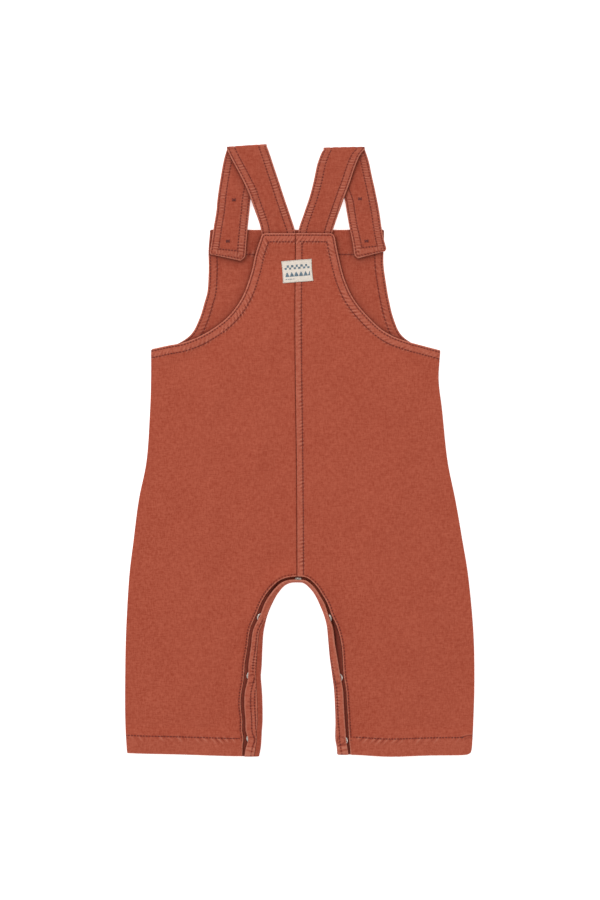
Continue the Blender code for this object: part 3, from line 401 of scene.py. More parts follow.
def filled(outline, spots, holes=()):
    """Triangles that fill an outline through the given spots. Returns places, faces and new indices."""
    loops = [np.asarray(loop, dtype=float)[:, :2] for loop in (outline, *holes)]
    points = np.vstack([*loops, spots])
    edges = []
    first = 0
    for loop in loops:
        count = len(loop)
        edges += [(first + i, first + (i + 1) % count) for i in range(count)]
        first += count
    made = delaunay_2d_cdt([Vector(p) for p in points.tolist()], edges, [], 0, 1e-4)
    flat = np.array([tuple(p) for p in made[0]])
    faces = np.array([tuple(face) for face in made[2]])
    middles = flat[faces].mean(axis=1)
    keep = inside(middles, loops[0])
    for hole in loops[1:]:
        keep &= ~inside(middles, hole)
    faces = faces[keep]
    used, renumbered = np.unique(faces, return_inverse=True)
    new_index = {old: new for new, old in enumerate(used)}
    place_of = {source: new_index[index] for index, sources in enumerate(made[3])
                for source in sources if index in new_index}
    return flat[used], renumbered.reshape(faces.shape), place_of


def grid_spots(outline, spacing, low_y, high_y, clear, lines=()):
    """Spots on a triangular grid inside an outline, between two heights and clear of its edge."""
    low, high = outline.min(axis=0), outline.max(axis=0)
    low_y, high_y = max(low[1], low_y), min(high[1], high_y)
    rise = spacing * math.sqrt(3) / 2
    rows = np.arange(low_y, high_y, rise)
    spots = []
    for number, y in enumerate(rows):
        xs = np.arange(low[0] + 0.5 * spacing * (number % 2), high[0], spacing)
        spots.append(np.column_stack([xs, np.full(len(xs), y)]))
    spots = np.vstack(spots)
    spots = spots[inside(spots, outline)]
    closed = np.vstack([outline, outline[:1]])
    for line in (closed, *lines):
        spots = spots[distance_to(spots, line)[0] > clear]
    return spots


def strip_faces(rows, columns, first=0):
    """Triangles between the points of a grid that is stored row by row."""
    i, j = np.meshgrid(np.arange(rows - 1), np.arange(columns - 1), indexing="ij")
    a = (first + i * columns + j).ravel()
    b, c, d = a + 1, a + columns + 1, a + columns
    return np.vstack([np.column_stack([a, b, c]), np.column_stack([a, c, d])])


def painted_shade_by(points, *edges, reach=3.4, depth=0.8):
    """Painted shadow beside the edges of a layer above: how dark the cloth is painted there, from 0 to 1."""
    total = np.ones(len(points))
    for edge in edges:
        away = distance_to(points, edge)[0]
        total = total * (1.0 - depth * (0.55 * np.exp(-away / reach) + 0.45 * bell(away / 1.1)))
    return 1.0 - total


def point_normals(points, faces):
    """The area-weighted direction of each point, from the triangles round it."""
    a, b, c = (points[faces[:, k]] for k in range(3))
    normal = np.cross(b - a, c - a)
    total = np.zeros_like(points)
    for k in range(3):
        np.add.at(total, faces[:, k], normal)
    lengths = np.linalg.norm(total, axis=1)
    return total / np.maximum(lengths, 1e-12)[:, None]


def rim_edges(faces):
    """The directed edges that only one triangle has."""
    count = faces.max() + 1
    edges = np.vstack([faces[:, [0, 1]], faces[:, [1, 2]], faces[:, [2, 0]]])
    forward = edges[:, 0] * count + edges[:, 1]
    backward = edges[:, 1] * count + edges[:, 0]
    return edges[~np.isin(forward, backward)]


def add_cloth(name, points, faces, over, under, marks, material):
    """A closed wall of cloth round a middle surface, with round edges, that carries its sewing marks."""
    count = len(points)
    over = np.broadcast_to(over, count)
    under = np.broadcast_to(under, count)
    normals = point_normals(points, faces)
    rim = rim_edges(faces)
    side = np.cross(normals[rim[:, 0]] + normals[rim[:, 1]], points[rim[:, 1]] - points[rim[:, 0]])
    side /= np.linalg.norm(side, axis=1)[:, None]
    inward = np.zeros_like(points)
    np.add.at(inward, rim[:, 0], side)
    np.add.at(inward, rim[:, 1], side)
    ring = np.unique(rim)
    inward[ring] /= np.maximum(np.linalg.norm(inward[ring], axis=1), 1e-9)[:, None]
    upper = points + normals * over[:, None] + inward * EDGE_ROUND
    lower = points - normals * under[:, None] + inward * EDGE_ROUND
    levels = []
    for share, reach in ((0.72, 0.1), (0.0, 0.0), (-0.72, 0.1)):
        shift = (over - under) / 2 + share * (over + under) / 2
        levels.append((points + normals * shift[:, None] + inward * reach)[ring])
    vertices = np.vstack([upper, lower, *levels])
    place = np.full(count, -1)
    place[ring] = np.arange(len(ring))
    a, b = rim[:, 0], rim[:, 1]
    steps = [(a, b)]
    for level in range(3):
        first = 2 * count + level * len(ring)
        steps.append((first + place[a], first + place[b]))
    steps.append((count + a, count + b))
    walls = [faces, count + faces[:, ::-1]]
    for (a1, b1), (a2, b2) in zip(steps, steps[1:]):
        walls.append(np.column_stack([b1, a1, a2]))
        walls.append(np.column_stack([b1, a2, b2]))
    obj = add_mesh(name, vertices, np.vstack(walls), material)
    for mark, values in marks.items():
        values = np.broadcast_to(values, count)
        data = obj.data.attributes.new(mark, "FLOAT", "POINT")
        everywhere = np.concatenate([values, values, *[values[ring]] * 3])
        data.data.foreach_set("value", everywhere.astype(np.float32))
    return obj


def add_mesh(name, vertices, faces, material):
    """A smooth object from points in millimetres."""
    mesh = bpy.data.meshes.new(name)
    mesh.from_pydata((np.asarray(vertices) * MM).tolist(), [], np.asarray(faces).tolist())
    mesh.materials.append(material)
    mesh.shade_smooth()
    obj = bpy.data.objects.new(name, mesh)
    bpy.context.scene.collection.objects.link(obj)
    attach(obj, "root")
    return obj


def joined_mesh(name, parts, material):
    """One object from many (points, faces) pairs."""
    vertices = []
    faces = []
    first = 0
    for points, some_faces in parts:
        vertices.append(points)
        faces += [tuple(first + index for index in face) for face in some_faces]
        first += len(points)
    mesh = bpy.data.meshes.new(name)
    mesh.from_pydata((np.vstack(vertices) * MM).tolist(), [], faces)
    mesh.materials.append(material)
    mesh.shade_smooth()
    obj = bpy.data.objects.new(name, mesh)
    bpy.context.scene.collection.objects.link(obj)
    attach(obj, "root")
    return obj


def top_of(*objects):
    """A search tree of finished pieces, in millimetres."""
    points = []
    faces = []
    for obj in objects:
        first = len(points)
        points += [obj.matrix_world @ vertex.co / MM for vertex in obj.data.vertices]
        faces += [tuple(first + index for index in face.vertices) for face in obj.data.polygons]
    return BVHTree.FromPolygons(points, faces)


def heights_on(tree, points):
    """Height of the uppermost cloth at each place."""
    down = Vector((0.0, 0.0, -1.0))
    heights = np.zeros(len(points))
    for index, (x, y) in enumerate(np.asarray(points)[:, :2]):
        hit = tree.ray_cast(Vector((x, y, 60.0)), down)[0]
        if hit is not None:
            heights[index] = hit.z
    return heights


# The inseam opening, station by station

STATIONS = curve_through(INSEAM, STATION_STEP)
FOLD_LINE = STATIONS[:, :2]
LAPS, SPREADS, RISES = STATIONS[:, 2], STATIONS[:, 3], STATIONS[:, 4]
STANDING = smooth_step((LAP_FLAT - LAPS) / (LAP_FLAT - LAP_STANDING))
CROTCH = int(np.abs(FOLD_LINE[:, 0] + 0.5).argmin())
ALONG_FOLD = STATION_STEP * np.arange(len(STATIONS))


def softened(values, reach):
    """Values averaged over a reach of neighbours on each side."""
    padded = np.concatenate([np.full(reach, values[0]), values, np.full(reach, values[-1])])
    return np.convolve(padded, np.full(2 * reach + 1, 1.0 / (2 * reach + 1)), mode="valid")


def inward_of_fold():
    along = np.gradient(FOLD_LINE, axis=0)
    along = np.stack([softened(column, 3) for column in along.T], axis=1)
    along[:2] = (0.0, 1.0)
    along[-2:] = (0.0, -1.0)
    along /= np.linalg.norm(along, axis=1)[:, None]
    return np.stack([-along[:, 1], along[:, 0]], axis=1)


INWARD = inward_of_fold()
STANDING = softened(STANDING, 4)
BACK_EDGE = FOLD_LINE + INWARD * (LAPS + SPREADS)[:, None]


def in_space(station, section):
    """Points of a station's section, given as distance in from the fold and height, in space."""
    place = FOLD_LINE[station] + section[:, :1] * INWARD[station]
    return np.hstack([place, section[:, 1:]])


def bezier(start, start_handle, end_handle, end, count=24):
    t = np.linspace(0.0, 1.0, count)[:, None]
    return ((1 - t)**3 * start + 3 * (1 - t)**2 * t * start_handle
            + 3 * (1 - t) * t**2 * end_handle + t**3 * end)


def turned_path(station):
    """Section of the front's cloth, from its free edge over the fold and under to the flat front."""
    lap, standing = LAPS[station], STANDING[station]
    half = CLOTH / 2
    height = FREE_EDGE_FLAT + (FREE_EDGE_STANDING - FREE_EDGE_FLAT) * standing + 0.7 * RISES[station]
    free = np.array([lap - half, height - 0.25])
    side = np.array([half, half + TURN_RADIUS])
    slope = STANDING_ANGLE * standing - 0.12 * (1 - standing)
    reach = 0.75 * (1.0 - 0.4 * standing) * np.linalg.norm(free - side)
    free_handle = free - reach * np.array([math.cos(slope), math.sin(slope)])
    free_handle[0] = max(free_handle[0], half + 0.3)
    side_handle = side + np.array([0.0, 0.8 * (1.0 - 0.5 * standing) * (free[1] - side[1])])
    upper = bezier(free, free_handle, side_handle, side)
    turn = np.linspace(0.0, math.pi / 2, 10)[1:, None]
    lower = side + TURN_RADIUS * np.hstack([1 - np.cos(turn), -np.sin(turn)])
    return np.vstack([upper, lower, [[FRONT_TURN_START, half]]])


def front_band_width(station):
    seam = LEFT_SEAM_FROM_FOLD if station < CROTCH else RIGHT_SEAM_FROM_FOLD
    return max(LEAST_BAND, LAPS[station] - seam)


BAND_WIDTHS = softened(np.array([front_band_width(i) for i in range(len(STATIONS))]), 3)



def band_row_depths():
    """Depth of the two stitch rows of the front's inseam band at each station, far off where there is none."""
    heights = FOLD_LINE[:, 1]
    left = np.arange(len(STATIONS)) < CROTCH
    above = heights > MIDDLE_SNAP_HEIGHT
    first = np.where(left & above, UPPER_BAND_ROWS[0], BAND_ROWS[0])
    second = np.where(left & above, UPPER_BAND_ROWS[1], BAND_ROWS[1])
    first = np.where(heights > UPPER_SNAP_HEIGHT, -NO_SEAM, first)
    second = np.where((heights > UPPER_SNAP_HEIGHT) | ~left, -NO_SEAM, second)
    return first, second


FIRST_ROW, SECOND_ROW = band_row_depths()

# Lines of the outlines

LEFT_SIDE = curve_through([(row.left, row.height) for row in SIDES], FINE)
RIGHT_SIDE = curve_through([(row.right, row.height) for row in SIDES], FINE)
LEFT_HEM_LINE = curve_through(LEFT_HEM, FINE)
RIGHT_HEM_LINE = curve_through(RIGHT_HEM, FINE)
BACK_LEFT = curve_through(BACK_ARMHOLE_LEFT, FINE)
BACK_RIGHT = curve_through(BACK_ARMHOLE_RIGHT, FINE)
BIB_LEFT = curve_through(BIB_ARMHOLE_LEFT, FINE)
BIB_RIGHT = curve_through(BIB_ARMHOLE_RIGHT, FINE)
SEAM = curve_through(CENTRE_SEAM, FINE)


def straight(start, end, step):
    count = max(2, round(math.dist(start, end) / step) + 1)
    return np.linspace(start, end, count)


def rounded_corner(corner, first, second, radius, count=7):
    """Points of an arc that rounds a corner, between its two neighbours."""
    corner, first, second = (np.array(p, dtype=float) for p in (corner, first, second))
    start = corner + radius * (first - corner) / np.linalg.norm(first - corner)
    end = corner + radius * (second - corner) / np.linalg.norm(second - corner)
    t = np.linspace(0.0, 1.0, count)[:, None]
    return (1 - t)**2 * start + 2 * t * (1 - t) * corner + t**2 * end


def hem_up_to(curve, x):
    """The part of a hem that lies further out than x, ending at x."""
    outside = curve[np.abs(curve[:, 0]) > abs(x) + 0.4]
    order = np.argsort(curve[:, 0])
    return np.vstack([outside, [[x, np.interp(x, curve[order, 0], curve[order, 1])]]])


def seam_x(heights):
    table = SEAM[::-1]
    return np.interp(heights, table[:, 1], table[:, 0])


# Heights

def button_bump(points, through_bib):
    """Height that the cloth is held up at by the buttons under it."""
    height = np.zeros(len(points))
    for button in BUTTONS:
        if button.through_bib == through_bib:
            away = np.hypot(points[:, 0] - button.x, points[:, 1] - button.y)
            fall = smooth_step((BUMP_REACH - away) / (BUMP_REACH - BUMP_FLAT))
            height = np.maximum(height, (BUTTON_THICK + GAP) * fall)
    return height


def turned_up_to(away, depth, reach=0.0):
    """1 where cloth is turned in to a depth from its edge, falling to 0 over a small step and a reach."""
    return smooth_step((depth + TURN_END + reach - away) / (TURN_END + 0.75 * reach))


def front_rise(points):
    """Extra height that the back's cloth rests on: the turned edges of the front below it."""
    armholes = nearest_of(points, BIB_LEFT, BIB_RIGHT)[0]
    hems = nearest_of(points, LEFT_HEM_LINE, RIGHT_HEM_LINE)[0]
    turned = turned_up_to(armholes, INNER_ROW + 0.5, 8.0)
    turned = np.maximum(turned, turned_up_to(BIB_TOP - points[:, 1], BIB_HEM_ROW + 0.5, 8.0))
    turned = np.maximum(turned, turned_up_to(hems, LEG_HEM_ROW + 0.5, 8.0))
    return button_bump(points, True) + CLOTH + TURNED_RISE * turned


def back_bottom(points):
    """Underside of the back: on the front, over the strap roots, with soft folds, up to its lifted edge."""
    height = front_rise(points) + GAP
    roots = smooth_step((points[:, 1] - STRAP_ROOT_END + ROOT_FADE) / (ROOT_FADE - 1.0))
    height = height + (DOUBLE_CLOTH + GAP) * roots
    away, place = distance_to(points, BACK_EDGE)
    edge_lengths = np.concatenate([[0.0], np.cumsum(np.linalg.norm(np.diff(BACK_EDGE, axis=0), axis=1))])
    standing = np.interp(place, edge_lengths, STANDING)
    height = height + BACK_EDGE_LIFT * standing * np.exp(-((away / BACK_EDGE_LIFT_REACH)**2))
    outer = nearest_of(points, LEFT_SIDE, RIGHT_SIDE, LEFT_HEM_LINE, RIGHT_HEM_LINE,
                       BACK_LEFT, BACK_RIGHT, BACK_EDGE)[0]
    soft = smooth_step(outer / LOFT_REACH)
    height = height + LOFT * soft
    for fold in BACK_FOLDS:
        line = np.array([[fold.x1, fold.y1], [fold.x2, fold.y2]])
        from_line, along = distance_to(points, line)
        length = math.dist(line[0], line[1])
        ends = 0.35 + 0.65 * np.sin(math.pi * np.clip(along / length, 0.0, 1.0))
        height = height + fold.height * soft * ends * bell(from_line / fold.half_width)
    wrinkle = uneven(points * np.array([1.0, 0.55]), 27.0, 3) + 0.5 * uneven(points, 13.0, 5)
    return height + 0.22 * smooth_step(outer / 14.0) * wrinkle


def puckers(row, along, slant, pitch=1.45, before=4.6, after=2.4):
    """Slanting puckers along a stitch row, from -1 to 1, that fade away from it on both sides."""
    phase = 2 * math.pi * (along + slant * row) / (STITCH_PITCH * pitch)
    phase = phase + 1.9 * uneven(np.column_stack([along, row * 0.4]), 17.0, 2)
    size = 0.62 + 0.5 * uneven(along[:, None], 21.0, 4)
    fade = np.where(row < 0, bell(row / before), bell(row / after))
    return np.clip(size, 0.05, 1.2) * fade * np.sin(phase)


def stitch_groove(row):
    return -0.32 * bell(row / 0.62)


def band_relief(away, inner_row):
    """Height of a turned edge with two stitch rows, from the distance to the edge."""
    relief = TURNED_RISE * smooth_step((inner_row + 0.5 + TURN_END - away) / TURN_END)
    relief = relief + stitch_groove(away - inner_row)
    relief = relief - 0.26 * bell((away - OUTER_ROW) / 0.55)
    roll = 0.25 * bell((away - 0.9) / 0.5)
    return relief + roll


# Materials

def node_tree(name):
    material = bpy.data.materials.new(name)
    material.use_nodes = True
    return material, material.node_tree.nodes, material.node_tree.links


def mathnode(nodes, links, operation, first, second=0.5, third=None):
    node = nodes.new("ShaderNodeMath")
    node.operation = operation
    for socket, value in zip(node.inputs, (first, second, third)):
        if value is None:
            continue
        if isinstance(value, (int, float)):
            socket.default_value = value
        else:
            links.new(value, socket)
    return node.outputs[0]


def ramp(nodes, links, value, low, high, to_low=0.0, to_high=1.0):
    node = nodes.new("ShaderNodeMapRange")
    node.interpolation_type = "SMOOTHSTEP"
    node.inputs["From Min"].default_value = low
    node.inputs["From Max"].default_value = high
    node.inputs["To Min"].default_value = to_low
    node.inputs["To Max"].default_value = to_high
    links.new(value, node.inputs["Value"])
    return node.outputs["Result"]


def noise(nodes, links, vector, scale, detail=3.0, roughness=0.6):
    node = nodes.new("ShaderNodeTexNoise")
    node.inputs["Scale"].default_value = scale
    node.inputs["Detail"].default_value = detail
    node.inputs["Roughness"].default_value = roughness
    links.new(vector, node.inputs["Vector"])
    return node.outputs["Fac"]


def stretched(nodes, links, vector, scale):
    node = nodes.new("ShaderNodeMapping")
    node.inputs["Scale"].default_value = scale
    links.new(vector, node.inputs["Vector"])
    return node.outputs["Vector"]


def mixed(nodes, links, factor, first, second, blend="MIX"):
    node = nodes.new("ShaderNodeMix")
    node.data_type = "RGBA"
    node.blend_type = blend
    for socket, value in ((node.inputs["Factor"], factor), (node.inputs["A"], first), (node.inputs["B"], second)):
        if isinstance(value, tuple):
            socket.default_value = (*value, 1.0)
        elif isinstance(value, float):
            socket.default_value = value
        else:
            links.new(value, socket)
    return node.outputs["Result"]


def mark(nodes, name):
    node = nodes.new("ShaderNodeAttribute")
    node.attribute_name = name
    return node.outputs["Fac"]


def cloth_material(name, shade=1.0):
    """Washed cotton twill: mottled dye, fine slubs both ways, pale edges and pucker crests from wear and painted
    highlight, painted shade in the stitch grooves and pucker troughs, and painted shadow under the layers above.
    """
    material, nodes, links = node_tree(name)
    shader = nodes["Principled BSDF"]
    shader.inputs["Roughness"].default_value = 0.88
    shader.inputs["Sheen Weight"].default_value = 0.04
    shader.inputs["Sheen Roughness"].default_value = 0.6
    shader.inputs["Specular IOR Level"].default_value = 0.12
    place = nodes.new("ShaderNodeTexCoord").outputs["Object"]
    blotches = noise(nodes, links, place, 26.0, 4.0, 0.62)
    speckle = noise(nodes, links, place, 430.0, 3.0, 0.75)
    across = noise(nodes, links, stretched(nodes, links, place, (190.0, 1250.0, 300.0)), 1.0, 2.0, 0.6)
    down = noise(nodes, links, stretched(nodes, links, place, (1250.0, 190.0, 300.0)), 1.0, 2.0, 0.6)
    weave = mathnode(nodes, links, "ADD", across, down)
    base = tuple(channel * shade for channel in CLOTH_COLOUR)
    dark = (base[0] * 0.80, base[1] * 0.62, base[2] * 0.55)
    light = (base[0] * 1.20, base[1] * 1.42, base[2] * 1.52)
    pale = tuple(channel * shade for channel in PALE_COLOUR)
    colour = mixed(nodes, links, ramp(nodes, links, blotches, 0.32, 0.68), dark, light)
    colour = mixed(nodes, links, 0.62, colour, base)
    speckled = mixed(nodes, links, ramp(nodes, links, speckle, 0.36, 0.64), dark, light)
    colour = mixed(nodes, links, 0.58, colour, speckled)
    threads = mixed(nodes, links, ramp(nodes, links, weave, 0.72, 1.28), dark, light)
    colour = mixed(nodes, links, 0.46, colour, threads)
    row_outer, row_inner = mark(nodes, "outer_row"), mark(nodes, "inner_row")
    edge, along, turned = mark(nodes, "edge"), mark(nodes, "along"), mark(nodes, "turned")
    pucker = mark(nodes, "pucker")
    # the turned bands are mixed towards pale: partly wear, partly painted highlight
    turned_wear_and_highlight = mathnode(nodes, links, "MULTIPLY", turned, ramp(nodes, links, speckle, 0.3, 0.7, 0.12, 0.42))
    colour = mixed(nodes, links, turned_wear_and_highlight, colour, pale)
    # pucker crests painted pale (partly wear, partly painted highlight) and troughs painted dark (painted shade)
    crest = mathnode(nodes, links, "MULTIPLY", ramp(nodes, links, pucker, 0.06, 0.7), 0.72)
    colour = mixed(nodes, links, crest, colour, pale)
    trough = mathnode(nodes, links, "MULTIPLY", ramp(nodes, links, pucker, -0.1, -0.7), 0.6)
    colour = mixed(nodes, links, trough, colour, PAINTED_GROOVE_SHADE)
    wave = mathnode(nodes, links, "SINE", mathnode(nodes, links, "MULTIPLY", along, 2 * math.pi / STITCH_PITCH))
    near_inner = ramp(nodes, links, mathnode(nodes, links, "ABSOLUTE", row_inner), 3.4, 0.6)
    # the turned edges and ridges are painted pale: partly wear, partly painted highlight
    edge_wear_and_highlight = mathnode(nodes, links, "MULTIPLY", ramp(nodes, links, edge, 1.35, 0.45),
                         ramp(nodes, links, speckle, 0.32, 0.62, 0.35, 0.9))
    colour = mixed(nodes, links, edge_wear_and_highlight, colour, pale)
    dash = ramp(nodes, links, wave, -0.7, 0.5, 0.25, 0.85)
    # painted shade along the stitch grooves, broken by the stitch pitch
    for row in (row_outer, row_inner):
        groove = ramp(nodes, links, mathnode(nodes, links, "ABSOLUTE", row), 1.0, 0.2)
        groove = mathnode(nodes, links, "MULTIPLY", groove, dash)
        colour = mixed(nodes, links, groove, colour, PAINTED_GROOVE_SHADE)
    # painted shadow from the layers above, and painted shade on the turned strip and on the band under the lap
    painted_shade = mathnode(nodes, links, "MULTIPLY", mark(nodes, "painted_shade"), 0.86)
    colour = mixed(nodes, links, painted_shade, colour, PAINTED_SHADE_COLOUR)
    links.new(colour, shader.inputs["Base Color"])
    ripple = mathnode(nodes, links, "MULTIPLY", near_inner, wave)
    height = mathnode(nodes, links, "MULTIPLY_ADD", ripple, 0.16, mathnode(nodes, links, "MULTIPLY", weave, 0.34))
    height = mathnode(nodes, links, "MULTIPLY_ADD", speckle, 0.2, height)
    bump = nodes.new("ShaderNodeBump")
    bump.inputs["Strength"].default_value = 0.55
    bump.inputs["Distance"].default_value = 0.0007
    links.new(height, bump.inputs["Height"])
    links.new(bump.outputs["Normal"], shader.inputs["Normal"])
    return material


def thread_material():
    material, nodes, links = node_tree("sewing_thread")
    shader = nodes["Principled BSDF"]
    shader.inputs["Roughness"].default_value = 0.7
    shader.inputs["Sheen Weight"].default_value = 0.1
    place = nodes.new("ShaderNodeTexCoord").outputs["Object"]
    twist = noise(nodes, links, place, 900.0, 2.0)
    dark = tuple(channel * 0.75 for channel in THREAD_COLOUR)
    light = tuple(channel * 1.7 for channel in THREAD_COLOUR)
    links.new(mixed(nodes, links, ramp(nodes, links, twist, 0.3, 0.7), dark, light), shader.inputs["Base Color"])
    return material


def metal_material():
    material, nodes, links = node_tree("snap_metal_worn")
    shader = nodes["Principled BSDF"]
    shader.inputs["Metallic"].default_value = 1.0
    place = nodes.new("ShaderNodeTexCoord").outputs["Object"]
    wear = noise(nodes, links, place, 700.0, 4.0)
    dull = tuple(channel * 0.72 for channel in METAL_COLOUR)
    bright = tuple(min(1.0, channel * 1.3) for channel in METAL_COLOUR)
    links.new(mixed(nodes, links, ramp(nodes, links, wear, 0.35, 0.65), dull, bright), shader.inputs["Base Color"])
    links.new(ramp(nodes, links, wear, 0.3, 0.7, 0.22, 0.42), shader.inputs["Roughness"])
    return material


def button_material():
    material, nodes, links = node_tree("button_plastic_dyed")
    shader = nodes["Principled BSDF"]
    place = nodes.new("ShaderNodeTexCoord").outputs["Object"]
    swirl = noise(nodes, links, place, 160.0, 5.0)
    links.new(mixed(nodes, links, ramp(nodes, links, swirl, 0.3, 0.7), (0.2, 0.045, 0.028), (0.36, 0.1, 0.06)),
              shader.inputs["Base Color"])
    links.new(ramp(nodes, links, swirl, 0.3, 0.7, 0.32, 0.5), shader.inputs["Roughness"])
    return material


def label_material():
    """Woven ribbon: cream ground with slate figures, from the weave's own marks."""
    material, nodes, links = node_tree("label_woven")
    shader = nodes["Principled BSDF"]
    shader.inputs["Roughness"].default_value = 0.8
    shader.inputs["Sheen Weight"].default_value = 0.08
    place = nodes.new("ShaderNodeTexCoord").outputs["Object"]
    ribs = noise(nodes, links, stretched(nodes, links, place, (500.0, 2400.0, 400.0)), 1.0, 2.0)
    cream_dark = tuple(channel * 0.86 for channel in LABEL_CREAM)
    cream = mixed(nodes, links, ramp(nodes, links, ribs, 0.35, 0.65), cream_dark, LABEL_CREAM)
    slate_light = tuple(channel * 1.9 for channel in LABEL_SLATE)
    slate = mixed(nodes, links, ramp(nodes, links, ribs, 0.35, 0.65), LABEL_SLATE, slate_light)
    ink = ramp(nodes, links, mark(nodes, "ink"), 0.3, 0.7)
    links.new(mixed(nodes, links, ink, cream, slate), shader.inputs["Base Color"])
    bump = nodes.new("ShaderNodeBump")
    bump.inputs["Strength"].default_value = 0.5
    bump.inputs["Distance"].default_value = 0.0003
    links.new(ribs, bump.inputs["Height"])
    links.new(bump.outputs["Normal"], shader.inputs["Normal"])
    return material


# The cloth pieces

def buttonhole(button):
    """A slot across the bib, round at both ends."""
    half = BUTTONHOLE_WIDTH / 2
    reach = BUTTONHOLE_LENGTH / 2 - half
    angles = np.linspace(-math.pi / 2, math.pi / 2, 7)
    right = [(button.x + reach + half * math.cos(a), button.y + half * math.sin(a)) for a in angles]
    left = [(button.x - reach - half * math.cos(a), button.y - half * math.sin(a)) for a in angles]
    return np.array(right + left)


def strap_edges(rising, fold, falling):
    """The two long edges of a strap's inner part, and the outline of its outer part."""
    inner = np.array([*rising, fold])
    outer = np.array([fold, *falling])
    ends = np.vstack([outer[:, :2], outer[::-1, 2:]])
    return inner[:, :2], inner[:, 2:], ends


def front_outline():
    ring = FOLD_LINE + FRONT_TURN_START * INWARD
    left_hem = hem_up_to(LEFT_HEM_LINE, ring[0, 0])
    right_hem = hem_up_to(RIGHT_HEM_LINE, ring[-1, 0])
    ring[0], ring[-1] = left_hem[-1], right_hem[-1]
    left_corner = rounded_corner((-76.2, BIB_TOP), BIB_LEFT[0], (0.0, BIB_TOP), 2.0)
    right_corner = rounded_corner((71.9, BIB_TOP), (0.0, BIB_TOP), BIB_RIGHT[0], 2.0)
    loop = np.vstack([
        ring,
        right_hem[::-1][1:],
        RIGHT_SIDE[::-1][1:],
        BIB_RIGHT[::-1][1:],
        right_corner[::-1],
        straight(right_corner[0], left_corner[-1], FINE)[1:-1],
        left_corner[::-1],
        BIB_LEFT[:-1],
        LEFT_SIDE[:-1],
        left_hem[:-1],
    ])
    return loop


def make_front(material):
    """The front: flat on the surface, with its inseam edges turned up round the fold."""
    outline = front_outline()
    holes = [buttonhole(button) for button in BUTTONS if button.through_bib]
    lines = [np.vstack([hole, hole[:1]]) for hole in holes]
    spots = np.vstack([
        grid_spots(outline, FINE, 78.0, 200.0, 0.6 * FINE, lines),
        grid_spots(outline, COARSE, -270.0, 75.0, 2.2),
    ])
    flat, faces, place_of = filled(outline, spots, holes)
    armhole, along = nearest_of(flat, BIB_LEFT, BIB_RIGHT)
    hem = nearest_of(flat, LEFT_HEM_LINE, RIGHT_HEM_LINE)[0]
    top = np.where(flat[:, 1] > 100.0, BIB_TOP - flat[:, 1], NO_SEAM)
    roping = puckers(armhole - INNER_ROW, along, 0.8)
    hem_roping = puckers(top - BIB_HEM_ROW, flat[:, 0], 0.3, 1.6, 3.0)
    relief = band_relief(armhole, INNER_ROW)
    hem_relief = TURNED_RISE * turned_up_to(top, BIB_HEM_ROW + 0.5) + stitch_groove(top - BIB_HEM_ROW)
    relief = np.where(armhole < INNER_ROW, relief, np.maximum(relief, hem_relief))
    pucker = np.where(armhole < INNER_ROW + 2.0, roping, hem_roping)
    relief = relief + 0.2 * pucker
    fold_away = distance_to(flat, FOLD_LINE)[0]
    leg = TURNED_RISE * turned_up_to(hem, LEG_HEM_ROW + 0.5) * smooth_step((fold_away - 18.0) / 9.0)
    relief = np.maximum(relief, leg)
    slack = 0.22 * smooth_step(armhole / 12.0) * uneven(flat, 19.0, 7) * (flat[:, 1] > 84.0)
    middle = np.column_stack([flat, CLOTH / 2 + button_bump(flat, True) + np.maximum(slack, 0.0)])
    wide = 11
    turned = []
    for station in range(len(STATIONS)):
        path = turned_path(station)
        rows = part_of_path(path, BAND_WIDTHS[station] + 0.12, 1e9, wide + 1)[::-1]
        turned.append(in_space(station, rows[1:]))
    first = len(middle)
    points = np.vstack([middle, *turned])
    count = len(STATIONS)
    extra = strip_faces(count, wide, first)
    join = []
    for i in range(count - 1):
        a, b = first + i * wide, first + (i + 1) * wide
        c, d = place_of[i + 1], place_of[i]
        join += [(a, b, c), (a, c, d)]
    points[place_of[0], 1] = FOLD_LINE[0, 1]
    points[place_of[count - 1], 1] = FOLD_LINE[-1, 1]
    faces = np.vstack([faces, extra, np.array(join)])
    added = len(points) - first
    straps = (strap_edges(LEFT_STRAP_RISING, LEFT_STRAP_FOLD, LEFT_STRAP_FALLING),
              strap_edges(RIGHT_STRAP_RISING, RIGHT_STRAP_FOLD, RIGHT_STRAP_FALLING))
    tops = (np.vstack([BACK_LEFT[::-1], [[-31.0, BACK_TOP], [0.0, BACK_TOP]]]),
            np.vstack([BACK_RIGHT[::-1], [[28.0, BACK_TOP], [0.0, BACK_TOP]]]))
    upper = flat[:, 1] > 80.0
    # painted shadow on the bib beside the back's top edges and the straps' outer parts
    painted_shade = np.zeros(len(flat))
    painted_shade[upper] = painted_shade_by(flat[upper], *tops, *[strap[2] for strap in straps])
    marks = {
        # painted shade on the turned strip along the inseam
        "painted_shade": np.concatenate([painted_shade, np.full(added, 0.16)]),
        "outer_row": np.concatenate([np.minimum(armhole, NO_SEAM) - OUTER_ROW, np.full(added, NO_SEAM)]),
        "inner_row": np.concatenate([
            np.minimum(np.minimum(armhole - INNER_ROW, top - BIB_HEM_ROW), hem - LEG_HEM_ROW),
            np.full(added, NO_SEAM)]),
        "edge": np.concatenate([np.minimum(armhole, np.maximum(top, 0.0)), np.full(added, NO_SEAM)]),
        "along": np.concatenate([np.where(top < armhole + 8.0, flat[:, 0], along), np.zeros(added)]),
        "turned": np.concatenate([0.35 * turned_up_to(armhole, INNER_ROW), np.zeros(added)]),
        "pucker": np.concatenate([0.8 * pucker, np.zeros(added)]),
    }
    over = np.concatenate([CLOTH / 2 + relief, np.full(added, CLOTH / 2)])
    front = add_cloth("front_cloth", points, faces, over, CLOTH / 2, marks, material)
    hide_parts("front")
    return front


